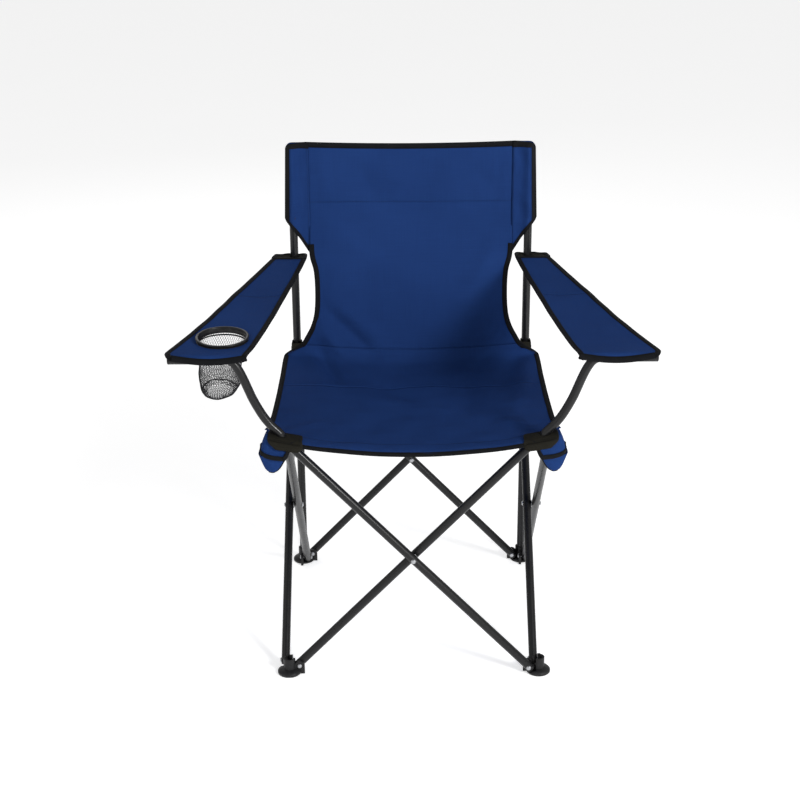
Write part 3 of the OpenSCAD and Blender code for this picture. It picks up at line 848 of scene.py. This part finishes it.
def seat_height(x, y):
    """Z of the seat's surface above a point of its front part."""
    down = np.interp(-y, -SLING[SEAT_FROM:, 0], SLING_DOWN[SEAT_FROM:])
    z0, z1, half = (np.interp(down, SLING_DOWN, SLING[:, k]) for k in (1, 3, 4))
    return z0 + (z1 - z0) * (x / half) ** 2


def rounded_outline(angle, low, high, power):
    """Points of a rounded rectangle from its two corners, at angles about its middle."""
    middle_at, reach = (low + high) / 2, (high - low) / 2
    c, s = np.cos(angle), np.sin(angle)
    shape = (np.abs(c) ** power + np.abs(s) ** power) ** (-1 / power)
    return middle_at + reach * np.stack([c * shape, s * shape], -1)


def corner_grid(low, high, lift, drop):
    """Left corner cloth: rays from the arm tube's hole to a rounded outline, then down its sides.

    drop is the length of the turned-down side at each angle, given by a function of the angle.
    """
    angle = np.arange(RAYS) * 2 * math.pi / RAYS
    rim = rounded_outline(angle, np.array(low) * MM, np.array(high) * MM, SQUARENESS)
    hole = np.array([-HALF - 0.001, -HALF]) + CORNER_HOLE * np.stack([np.cos(angle), np.sin(angle)], -1)
    share = np.linspace(0, 1, 12)[None, :, None]
    plan = hole[:, None] + (rim - hole)[:, None] * share
    z = seat_height(plan[..., 0], plan[..., 1]) + lift
    flat_part = np.concatenate([plan, z[..., None]], -1)
    out = unit(rim - (np.array(low) + np.array(high)) * MM / 2)
    fall = np.linspace(0, 1, 11)[None, 1:]
    length = drop(angle)[:, None] * fall
    turned = 0.0022 * np.sin(np.clip(length / 0.006, 0, 1) * math.pi / 2)
    flare = 0.34 * np.clip(length - 0.005, 0, 1)
    bulge = turned + flare + 0.0010 * np.sin(fall * math.pi) + 0.0006 * np.sin(angle * 9)[:, None] * fall
    side_plan = rim[:, None] + out[:, None] * bulge[..., None]
    side_z = z[:, -1:] - length
    sides = np.concatenate([side_plan, side_z[..., None]], -1)
    uv = np.concatenate([plan, rim[:, None] + out[:, None] * length[..., None]], 1)
    return np.concatenate([flat_part, sides], 1), uv


def corner_drop(angle):
    """Length of a left corner's side: long at the front and outside, short towards the seat."""
    turn = np.degrees(angle) % 360
    rise = np.clip((turn - 105) / 40, 0, 1) * np.clip((312 - turn) / 34, 0, 1)
    return 0.005 + 0.025 * rise * rise * (3 - 2 * rise)


def patch_drop(angle):
    """Length of a patch's side: it turns down a little at the front only."""
    turn = np.degrees(angle) % 360
    return 0.0004 + 0.010 * np.clip((turn - 215) / 30, 0, 1) * np.clip((335 - turn) / 30, 0, 1)


def flap_grid():
    """Left hanging tip of a corner: its top edge goes round the corner's front and outside, and it
    narrows to a rounded point below; across it, it is a bent strip, and down it a bag's outline."""
    knots = np.array([(-210, -240.5), (-232, -243), (-250, -242), (-256.5, -236), (-258, -222),
                      (-257, -204)]) * MM
    edge = smooth_through(knots, 40)
    v = np.linspace(0, 1, 22)[None, :]
    keep = (1 - 0.62 * v) * np.sqrt(np.clip(1 - v ** 7, 0.0004, 1))
    tip = np.array([-0.238, -0.229])
    plan = tip + (edge[:, None] - tip) * keep[..., None]
    fold = 0.0022 * np.sin(np.linspace(0, 3 * math.pi, 40))[:, None] * v
    plan = plan + fold[..., None] * np.array([0.5, -1.0])
    z = HEM_Z + 0.001 - 0.034 * v + 0 * edge[:, :1]
    run = np.concatenate([[0], np.cumsum(np.hypot(*np.diff(edge, axis=0).T))])[:, None]
    uv = np.stack([run[-1] / 2 + (run - run[-1] / 2) * keep, 0.040 * v + 0 * run], -1)
    return np.concatenate([plan, z[..., None]], -1), uv


class CornersOperator(bpy.types.Operator):
    """Seat's front corners: the cloth pocket on the hub, its webbing patch and its hanging tip"""
    bl_idname = "chair.corners"
    bl_label = "Seat corners"

    def execute(self, context):
        mats = materials()
        thick = settings("chair_cloth").thick
        for side, word in ((1, "left"), (-1, "right")):
            body, flip = "hub_" + word, np.array([side, 1, 1])
            grid, uv = corner_grid((-245, -236), (-197, -188), 0.0009, corner_drop)
            pocket = sheet_mesh("corner_pocket_" + word, grid * flip, uv, mats["cloth"], thick, True)
            mounted(recalculated(pocket), body, ["seat_corner_" + word])
            hem = grid[24:88, -1] * flip
            up = unit(np.cross(np.gradient(hem, axis=0), [0, 0, -1.0]))
            tape = tape_mesh("corner_hem_tape_" + word, hem, hem + [0, 0, 0.006], up, 0.0065)
            mounted(tape, body)
            grid, uv = corner_grid((-240, -243.5), (-186, -205.5), 0.0026, patch_drop)
            patch = sheet_mesh("corner_patch_" + word, grid * flip, uv, mats["patch"], 0.0014, True)
            mounted(recalculated(patch), body)
            for number, share in enumerate((0.62, 0.9)):
                ring = grid[:, 0] + (grid[:, 11] - grid[:, 0]) * share + [0, 0, 0.0009]
                ring = np.concatenate([ring, ring[:1]]) * flip
                up = np.tile([0, 0, 1.0], (len(ring), 1))
                sewn = stitches_mesh(f"patch_stitches_{word}_{number}", ring, up, mats["thread"])
                mounted(sewn, body)
            grid, uv = flap_grid()
            tip = recalculated(sheet_mesh("corner_tip_" + word, grid * flip, uv, mats["cloth"], thick))
            mounted(tip, body)
            border = np.concatenate([grid[0, :-2], grid[1:-1, -2], grid[-1, -3::-1]])
            border = smooth_through(border[::3], 120) * flip
            inside = border + 0.005 * unit(np.array([-0.238, -0.226, 0.408]) * flip - border)
            up = unit(np.array([-0.5, -1.0, 0.1]) * flip) + 0 * border
            tape = mounted(tape_mesh("corner_tip_tape_" + word, border, inside, up, 0.004), body)
        return {"FINISHED"}


# ---------------------------------------------------------------- arm rests
# Height of an arm rest along its length, from the post to its front hem, as (Y, Z) in millimetres.
ARM_LINE = np.array([(240, 638.5), (206, 638), (160, 632.5), (100, 625), (40, 618.6), (0, 613.4),
                     (-60, 606), (-120, 600.6), (-160, 597.8), (-195, 596.4), (-214, 597), (-224, 596.6),
                     (-231, 593.5), (-236, 588.5)])
ARM_INNER = np.array([(236, -200), (205, -198), (61, -220), (-151, -257), (-216, -269), (-232, -272),
                      (-236, -270)])
ARM_COLUMNS = 28                      # points across an arm rest
ARM_REAR_Y = 0.205                    # where an arm rest's cloth begins, at its post
ARM_FRONT_Y = -0.236
ARM_OUTER = np.array([(236, -252), (205, -262), (63, -311), (-26, -342), (-150, -386), (-206, -404),
                      (-228, -402), (-236, -394)])


def between(knots, y):
    """Value at y of a smooth curve through knots of (Y, value), both in millimetres."""
    curve = smooth_through(knots, 400)
    return np.interp(-y, -curve[:, 0] * MM, curve[:, 1] * MM)


def arm_height(x, y):
    """Z of a left arm rest: its line along Y, with a shallow trough across the free stretch."""
    inner, outer = between(ARM_INNER, y), between(ARM_OUTER, y)
    u = np.clip((x - outer) / (inner - outer), 0, 1)
    free = np.clip((y + 0.20) / 0.39, 0, 1)
    trough = 0.0035 * np.sin(u * math.pi) * np.sin(free * math.pi) ** 0.7
    ripple = 0.0006 * np.sin(x * 60 + y * 33) * np.sin(y * 47 - x * 20) * np.sin(free * math.pi)
    front = np.clip((-0.226 - y) / 0.010, 0, 1)
    sag = front * (0.007 * np.sin(u * math.pi) - 0.0035)
    return between(ARM_LINE, y) - trough + ripple - sag


def arm_points(plan):
    """Points of a left arm rest above a plan, with UV that unrolls its slope."""
    x, y = plan[..., 0], plan[..., 1]
    curve = smooth_through(ARM_LINE, 400) * MM
    run = np.concatenate([[0], np.cumsum(np.hypot(*np.diff(curve, axis=0).T))])
    uv = np.stack([x, np.interp(-y, -curve[:, 0], run)], -1)
    return np.concatenate([plan, arm_height(x, y)[..., None]], -1), uv


def arm_across(y, u):
    """Plan points of an arm rest at y, with u from 0 at its inner edge to 1 at its outer edge."""
    return np.stack([between(ARM_OUTER, y) * u + between(ARM_INNER, y) * (1 - u), y], -1)


def arm_strip(from_y, to_y):
    """Plan grid between the arm rest's inner and outer edges."""
    y = np.linspace(from_y, to_y, int(abs(to_y - from_y) / CLOTH_STEP))
    return arm_across(y[:, None] + np.zeros((1, ARM_COLUMNS)), np.linspace(0, 1, ARM_COLUMNS)[None, :])


def arm_ringed(from_y, to_y):
    """Plan grid round the cup's hole: rays from the hole to points along the outline."""
    y = np.linspace(from_y, to_y, 64)
    u = np.linspace(0, 1, ARM_COLUMNS)
    ends = [arm_across(at + 0 * u, u) for at in (from_y, to_y)]
    inner, outer = (np.stack([between(edge, y), y], -1) for edge in (ARM_INNER, ARM_OUTER))
    outline = np.concatenate([inner[:-1], ends[1][:-1], outer[::-1][:-1], ends[0][::-1][:-1]])
    ray = outline - CUP[:2]
    hole = CUP[:2] + unit(ray) * (CUP_R - 0.002)
    share = np.linspace(0, 1, 36)[None, :, None] ** 1.15
    return hole[:, None] + (outline - hole)[:, None] * share


def arm_edge(from_y, to_y, knots, flip):
    """One side edge of an arm rest: its points, points of the cloth next to them, and normals."""
    y = np.linspace(from_y, to_y, 90)
    edge, _ = arm_points(np.stack([between(knots, y), y], -1))
    middle_x = (between(ARM_INNER, y) + between(ARM_OUTER, y)) / 2
    inside, _ = arm_points(np.stack([edge[:, 0] + (middle_x - edge[:, 0]) * 0.1, y], -1))
    up = unit(np.stack([0 * y, -np.gradient(edge[:, 2], y), 1 + 0 * y], -1))
    return edge * flip, inside * flip, up


class ArmRestsOperator(bpy.types.Operator):
    """Arm rests: the cloth in its two folding parts, with the tape and stitches along it"""
    bl_idname = "chair.arms"
    bl_label = "Arm rests"

    def execute(self, context):
        mats = materials()
        thick, width = settings("chair_cloth").thick, settings("chair_trim").tape_width
        for side, word in ((1, "left"), (-1, "right")):
            flip = np.array([side, 1, 1])
            for part, y0, y1 in (("rear", ARM_REAR_Y, ARM_CREASE_Y), ("front", ARM_CREASE_Y, ARM_FRONT_Y)):
                body = f"arm_{word}_{part}"
                ringed = part == "front" and word == "left"
                name = f"arm_cloth_{word}_{part}"
                grid, uv = arm_points(arm_ringed(y0, y1) if ringed else arm_strip(y0, y1))
                sheet = sheet_mesh(name, grid * flip, uv, mats["cloth"], thick, ringed)
                mounted(recalculated(sheet), body, [f"arm_rest_{word}_{part}"])
                trims = []
                for knots, edge_name in ((ARM_INNER, "inner"), (ARM_OUTER, "outer")):
                    edge, inside, up = arm_edge(y0, y1, knots, flip)
                    label = f"{word}_{part}_{edge_name}"
                    trims.append(tape_mesh("arm_tape_" + label, edge, inside, up, width))
                    sewn = edge + unit(inside - edge) * (width - SEWN_IN) + up * SEWN_LIFT
                    trims.append(stitches_mesh("arm_stitches_" + label, sewn, up, mats["thread"]))
                if part == "front":
                    u = np.linspace(0, 1, 60)
                    plan = arm_across(ARM_FRONT_Y + 0 * u, u)
                    edge, _ = arm_points(plan)
                    inside, _ = arm_points(plan + [0, 0.003])
                    up = np.tile(unit(np.array([0, -1.0, 0.9])), (60, 1))
                    hem = tape_mesh("arm_hem_tape_" + word, edge * flip, inside * flip, up, 0.0095, 0.0019)
                    trims.append(hem)
                for trim in trims:
                    mounted(trim, body)
                if part == "rear":
                    for piece in [sheet, *trims]:
                        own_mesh(piece)
        return {"FINISHED"}


class ArmEndsOperator(bpy.types.Operator):
    """Webbing patches that hold the arm rests on the posts"""
    bl_idname = "chair.arm_ends"
    bl_label = "Arm rest ends"

    def execute(self, context):
        mats = materials()
        count = 120
        angle = np.arange(count) * 2 * math.pi / count
        low, high = np.array([-262.5, 203]) * MM, np.array([-197.5, 236]) * MM
        rim = rounded_outline(angle, low, high, SQUARENESS)
        lean = np.clip((rim[:, 1] - 0.205) / 0.030, 0, 1)
        rim[:, 0] += 0.006 * lean * (rim[:, 0] < -0.23)
        hole = np.array([-HALF, HALF]) + (TUBE_R + 0.0009) * np.stack([np.cos(angle), np.sin(angle)], -1)
        share = np.linspace(0, 1, 14)[None, :, None]
        plan = hole[:, None] + (rim - hole)[:, None] * share
        z = ARM_END_Z + 0.0008 * np.sin(plan[..., 0] * 210) * share[..., 0] * (plan[..., 1] > 0.21)
        grid = np.concatenate([plan, z[..., None]], -1)
        for side, word in ((1, "left"), (-1, "right")):
            flip = np.array([side, 1, 1])
            body = "frame_" + word
            patch = sheet_mesh("arm_end_patch_" + word, grid * flip, plan, mats["patch"], 0.0024, True)
            mounted(recalculated(patch), body, ["arm_end_" + word])
            edge = np.roll(grid[:, -1], -count // 2 + 2, axis=0)
            pick = edge[:, 1] > 0.2035
            edge = edge[pick] * flip
            up = np.tile([0, 0, 1.0], (len(edge), 1))
            inside = edge + (np.array([-0.229, 0.215, ARM_END_Z]) * flip - edge) * 0.2
            tape = mounted(tape_mesh("arm_end_tape_" + word, edge, inside, up, 0.006, 0.0019), body)
            ring = grid[:, 0] + (grid[:, -1] - grid[:, 0]) * 0.45 + [0, 0, 0.0013]
            ring = np.concatenate([ring, ring[:1]]) * flip
            up = np.tile([0, 0, 1.0], (len(ring), 1))
            sewn = mounted(stitches_mesh("arm_end_stitches_" + word, ring, up, mats["thread"]), body)
        return {"FINISHED"}


# ---------------------------------------------------------------- cup holder
# Side of the net's pouch, from its ring to the middle of its base: (radius, height) shares of the
# ring's bore and of the net's depth.
NET_LINE = np.array([(1.0, 0.0), (0.975, 0.25), (0.955, 0.5), (0.95, 0.68), (0.93, 0.79), (0.86, 0.87),
                     (0.68, 0.94), (0.4, 0.985), (0.0, 1.0)])
NET_BORE = 0.0395
NET_THREADS = 58                      # threads each way round the pouch's side
NET_TWIST = 2.6                       # radians that a thread turns from the ring to the base's middle
NET_DEEP = (NET_TOP - NET_LOW) * 0.90  # the pouch hangs slack, so it is less deep than its cut


def net_at(angle, s):
    """Points of the pouch: its side line turned about the ring's axis, with slack folds below."""
    line = smooth_through(NET_LINE, 300)
    share = np.linspace(0, 1, 300)
    radius, depth = (np.interp(s, share, line[:, k]) for k in (0, 1))
    slack = 0.0018 * np.sin(3 * angle + 1) * np.sin(s * math.pi)
    slack = slack + 0.0008 * np.sin(7 * angle) * s * (1 - s) * 4
    r = NET_BORE * radius * (1 - 0.06 * np.clip(depth * 3, 0, 1)) + slack
    z = NET_TOP - 0.001 - NET_DEEP * depth + 0.011 * depth * radius * np.sin(angle) * np.clip(s * 2, 0, 1)
    x = CUP[0] - 0.009 * np.clip(depth * 1.6, 0, 1) + r * np.cos(angle)
    return np.stack(np.broadcast_arrays(x, CUP[1] + r * np.sin(angle), z), -1)


def strands_mesh(name, lines, radius, material):
    """Many threads in one mesh: lines (n, k, 3) each become a four-sided tube with closed ends."""
    n, k = lines.shape[:2]
    along = unit(np.gradient(lines, axis=1))
    side = unit(np.cross(along, [0.31, 0.22, 0.93]))
    up = np.cross(side, along)
    a = np.arange(4) * math.pi / 2
    ring = np.cos(a)[:, None] * side[:, :, None, :] + np.sin(a)[:, None] * up[:, :, None, :]
    points = lines[:, :, None, :] + radius * ring
    last = 4 * k - 4
    ends = [[3, 2, 1, 0], [last, last + 1, last + 2, last + 3]]
    one = np.concatenate([grid_faces(k, 4, wrap_columns=True), ends])
    faces = (one[None] + (np.arange(n) * 4 * k)[:, None, None]).reshape(-1, 4)
    return recalculated(make_mesh(name, points.reshape(-1, 3), faces, material))


def loop_mesh(name, path, radius, material, sides=8):
    """A closed cord along a closed path, round in section."""
    along = unit(np.roll(path, -1, axis=0) - np.roll(path, 1, axis=0))
    side = unit(np.cross(along, [0, 0, 1.0]))
    return sweep_mesh(name, path, side, np.cross(side, along), circle(radius, sides), material, True)


class CupOperator(bpy.types.Operator):
    """Cup holder: the ring, the net pouch with its base seam, and the ring's binding"""
    bl_idname = "chair.cup"
    bl_label = "Cup holder"

    def execute(self, context):
        mats = materials()
        body = "arm_left_front"
        angle = np.arange(RAYS) * 2 * math.pi / RAYS
        low, high = (float(v[2]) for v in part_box("cup_ring"))
        rear, fore = (between(ARM_LINE, np.array([CUP[1] + way * 0.04])) for way in (1, -1))
        tilt = (rear - fore)[0] / 0.08
        rise = CUP_R * tilt
        bore = CUP_R - 0.006
        zl, zh = low + rise, high - rise
        profile = np.array([
            (bore, zl + 0.0006), (bore + 0.0006, zl), (CUP_R - 0.0008, zl), (CUP_R, zl + 0.0008),
            (CUP_R, zl + 0.0018), (CUP_R - 0.0026, zl + 0.0022), (CUP_R - 0.003, zl + 0.003),
            (CUP_R - 0.003, zh - 0.0026), (CUP_R - 0.0012, zh - 0.0024), (CUP_R - 0.0008, zh - 0.0016),
            (CUP_R - 0.0014, zh - 0.0006), (CUP_R - 0.0024, zh), (bore + 0.0016, zh + 0.0002),
            (bore + 0.0004, zh - 0.0004), (bore, zh - 0.0014), (bore, (zl + zh) / 2)])
        path = np.stack([CUP[0] + 0 * angle, CUP[1] + 0 * angle, tilt * CUP_R * np.sin(angle)], -1)
        side = np.stack([np.cos(angle), np.sin(angle), 0 * angle], -1)
        up = np.tile([0, 0, 1.0], (RAYS, 1))
        ring = sweep_mesh("cup_ring_moulded", path, side, up, profile, mats["ring"], True)
        mounted(ring, body, ["cup_ring"])
        start = np.arange(NET_THREADS) * 2 * math.pi / NET_THREADS
        s = np.linspace(0, 0.80, 44)
        turn = NET_TWIST * s
        share = s[None, :] + 0 * start[:, None]
        lines = np.concatenate([net_at(start[:, None] + way * turn, share) for way in (1, -1)])
        mounted(strands_mesh("cup_net_side", lines, 0.00034, mats["net"]), body, ["cup_net"])
        reach = np.linspace(-1, 1, 19)[1:-1] * 0.034
        lines = []
        line = smooth_through(NET_LINE, 300)
        for cross in (0, 1):
            t = np.linspace(-1, 1, 22)[None, :]
            a = reach[:, None] + 0 * t
            b = t * np.sqrt(0.0355 ** 2 - a ** 2)
            x, y = (a, b) if cross else (b, a)
            share = np.interp(np.hypot(x, y) / (NET_BORE * 0.94), line[::-1, 0][:200],
                              np.linspace(1, 0, 300)[:200])
            lines.append(net_at(np.arctan2(y, x), share))
        mounted(strands_mesh("cup_net_base", np.concatenate(lines), 0.00030, mats["net"]), body)
        for part, share, radius in (("seam", 0.70, 0.0011), ("binding", 0.012, 0.0014)):
            path = net_at(angle, share + 0 * angle)
            mounted(loop_mesh("cup_net_" + part, path, radius, mats["tape"]), body)
        return {"FINISHED"}


# ---------------------------------------------------------------- frame
# Route of the left arm tube from its hub, as (X, Z) in millimetres; it lies in one upright plane.
ARM_ROUTE = [(-220, 438), (-220, 453), (-225, 460.5), (-236, 471.5), (-247, 486), (-256, 501.5),
             (-264.5, 518.5), (-270, 532), (-277, 550), (-283, 564), (-289, 575), (-296, 583.5),
             (-305, 587.5), (-320, 588), (-360, 588), (-398, 588)]
TUBE_SIDES = 32                       # points round an arm tube


class ArmTubesOperator(bpy.types.Operator):
    """Bent tubes that carry the arm rests, with their end plugs"""
    bl_idname = "chair.arm_tubes"
    bl_label = "Arm tubes"

    def execute(self, context):
        mats = materials()
        route = smooth_through(np.array(ARM_ROUTE) * MM, 200)
        path = np.stack([route[:, 0], -HALF + 0 * route[:, 0], route[:, 1]], -1)
        for side, word in ((1, "left"), (-1, "right")):
            line = path * np.array([side, 1, 1])
            along = unit(np.gradient(line, axis=0))
            across = np.tile([0, 1.0, 0], (len(line), 1))
            body = "hub_" + word
            tube = sweep_mesh("arm_bar_" + word, line, np.cross(along, across), across,
                              circle(TUBE_R, TUBE_SIDES), mats["steel"])
            mounted(tube, body, ["arm_tube_" + word])
            t = np.linspace(0, math.pi / 2, 7)
            radius = np.concatenate([[TUBE_R - 0.0004, TUBE_R], TUBE_R - 0.0018 * (1 - np.cos(t))])
            reach = np.concatenate([[0, 0.0002], 0.0022 + 0.0018 * np.sin(t)])
            a = np.arange(TUBE_SIDES) * 2 * math.pi / TUBE_SIDES
            grid = np.stack(np.broadcast_arrays(line[-1, 0] - side * reach[:, None],
                                                -HALF + radius[:, None] * np.cos(a),
                                                ARM_BAR_Z + radius[:, None] * np.sin(a)), -1)
            caps = np.stack([grid[0].mean(0), grid[-1].mean(0)])
            fan = np.arange(0, TUBE_SIDES, 2)
            faces = grid_faces(len(reach), TUBE_SIDES, wrap_columns=True)
            end = len(reach) * TUBE_SIDES
            for centre, base in ((end, 0), (end + 1, end - TUBE_SIDES)):
                wedges = [0 * fan + centre, base + fan, base + (fan + 1) % TUBE_SIDES,
                          base + (fan + 2) % TUBE_SIDES]
                faces = np.concatenate([faces, np.stack(wedges, -1)])
            points = np.concatenate([grid.reshape(-1, 3), caps])
            plug = make_mesh("arm_bar_plug_" + word, points, faces, mats["moulded"])
            mounted(recalculated(plug), body)
        return {"FINISHED"}


class FinishesOperator(bpy.types.Operator):
    """Tubes, mouldings and rivets: softened copies of the frame's nodes in their finishes"""
    bl_idname = "chair.finishes"
    bl_label = "Frame finishes"

    def execute(self, context):
        mats = materials()
        by_slot = {"black_steel": ("steel", 0.0003), "moulding": ("moulded", 0.0006),
                   "rivet": ("zinc", 0.0005), "webbing": ("patch", 0.0005), "cup_ring": ("ring", 0),
                   "netting": ("net", 0), "blue_cloth": ("cloth", 0)}
        record = frame["record"]
        body_of = {name: body for body, names in record["behaviour"]["bodies"].items() for name in names}
        for part in record["subparts"]:
            name = part["node"]
            material, round_off = by_slot[part["material_slot"]]
            node_object = frame["nodes"][name]
            node_object.data.materials.clear()
            node_object.data.materials.append(mats[material])
            if round_off and not name.startswith(("arm_", "seat_")):
                copy = softened(node_object, name + "_finished", mats[material], round_off)
                mounted(copy, body_of[name], [name])
        return {"FINISHED"}


def softened(source, name, material, round_off):
    """Copy of a node with its loose triangles merged and its sharp edges rounded."""
    work = bmesh.new()
    work.from_mesh(source.data)
    bmesh.ops.remove_doubles(work, verts=work.verts, dist=1e-6)
    bmesh.ops.dissolve_limit(work, angle_limit=math.radians(0.5), verts=work.verts, edges=work.edges)
    mesh = bpy.data.meshes.new(name)
    work.to_mesh(mesh)
    work.free()
    mesh.materials.append(material)
    mesh.polygons.foreach_set("use_smooth", np.ones(len(mesh.polygons), bool))
    mesh.set_sharp_from_angle(angle=math.radians(32))
    obj = bpy.data.objects.new(name, mesh)
    bpy.context.scene.collection.objects.link(obj)
    bevel = obj.modifiers.new("rounded", "BEVEL")
    bevel.width, bevel.segments, bevel.limit_method = round_off, 2, "ANGLE"
    bevel.angle_limit = math.radians(40)
    bevel.harden_normals = True
    bevel.use_clamp_overlap = True
    return obj


class StageOperator(bpy.types.Operator):
    """Camera, floor and soft light"""
    bl_idname = "chair.stage"
    bl_label = "Stage"

    def execute(self, context):
        s = settings("chair_stage")
        forward = np.array([-math.sin(s.turn) * math.cos(s.rise), math.cos(s.turn) * math.cos(s.rise),
                            -math.sin(s.rise)])
        right = unit(np.cross(forward, [0, 0, 1.0]))
        up = np.cross(right, forward)
        c, n = math.cos(s.roll), math.sin(s.roll)
        right, up = c * right + n * up, c * up - n * right
        place = np.array([s.aim_x, 0, s.aim_z]) - s.away * forward
        data = bpy.data.cameras.new("camera")
        data.lens, data.sensor_width, data.clip_end = s.lens, 36.0, 100
        camera = bpy.data.objects.new("camera", data)
        axes = Matrix(np.stack([right, up, -forward], -1).tolist()).to_4x4()
        camera.matrix_world = Matrix.Translation(Vector(place)) @ axes
        context.scene.collection.objects.link(camera)
        context.scene.camera = camera
        context.scene.view_settings.view_transform = "Standard"
        span = 80.0
        corners = np.array([(-span, -span, 0), (span, -span, 0), (span, span, 0), (-span, span, 0)])
        make_mesh("floor", corners, [[0, 1, 2, 3]], floor_material("pale floor", s.floor))
        world = bpy.data.worlds.new("studio")
        world.use_nodes = True
        tree = world.node_tree
        coord = node(tree, "ShaderNodeTexCoord").outputs["Generated"]
        height = node(tree, "ShaderNodeSeparateXYZ", {0: coord}).outputs[2]
        dimmed = maths(tree, "SUBTRACT", 1.0, maths(tree, "MULTIPLY", height, 0.45))
        strength = maths(tree, "MULTIPLY", dimmed, s.sky)
        background = tree.nodes["Background"]
        background.inputs[0].default_value = (1, 1, 1, 1)
        tree.links.new(strength, background.inputs[1])
        context.scene.world = world
        for name, power, size, at in (("key", s.key, 0.8, (2.1, -2.6, 1.9)),
                                      ("fill", s.fill, 2.6, (-2.6, -1.8, 1.9)),
                                      ("rim", s.fill, 1.8, (-0.8, 2.6, 2.4))):
            light = bpy.data.lights.new(name, "AREA")
            light.energy, light.size = power, size
            lamp = bpy.data.objects.new(name, light)
            aim = Vector((0, 0, 0.45)) - Vector(at)
            lamp.matrix_world = Matrix.Translation(at) @ aim.to_track_quat("-Z", "Y").to_matrix().to_4x4()
            context.scene.collection.objects.link(lamp)
        return {"FINISHED"}


OPERATORS = [StageOperator, FinishesOperator, ArmTubesOperator, BackOperator, SleevesOperator, SeatOperator,
             CornersOperator, ArmRestsOperator, ArmEndsOperator, CupOperator]


class ChairPanel(bpy.types.Panel):
    """Lists the chair's settings and its pieces"""
    bl_idname = "VIEW3D_PT_camp_chair"
    bl_label = "Camp chair"
    bl_space_type = "VIEW_3D"
    bl_region_type = "UI"
    bl_category = "Camp chair"

    def draw(self, context):
        for name, group in GROUPS.items():
            box = self.layout.box()
            box.label(text=group.__doc__)
            for key in group.__annotations__:
                box.prop(getattr(context.scene, name), key)
        for operator in OPERATORS:
            self.layout.operator(operator.bl_idname)


def register():
    for item in [*GROUPS.values(), *OPERATORS, ChairPanel]:
        bpy.utils.register_class(item)
    for name, group in GROUPS.items():
        setattr(bpy.types.Scene, name, bpy.props.PointerProperty(type=group))


def unregister():
    for name in GROUPS:
        delattr(bpy.types.Scene, name)
    for item in reversed([*GROUPS.values(), *OPERATORS, ChairPanel]):
        bpy.utils.unregister_class(item)


def main():
    register()
    for operator in OPERATORS:
        group, name = operator.bl_idname.split(".")
        getattr(getattr(bpy.ops, group), name)()


if __name__ == "__main__":
    main()
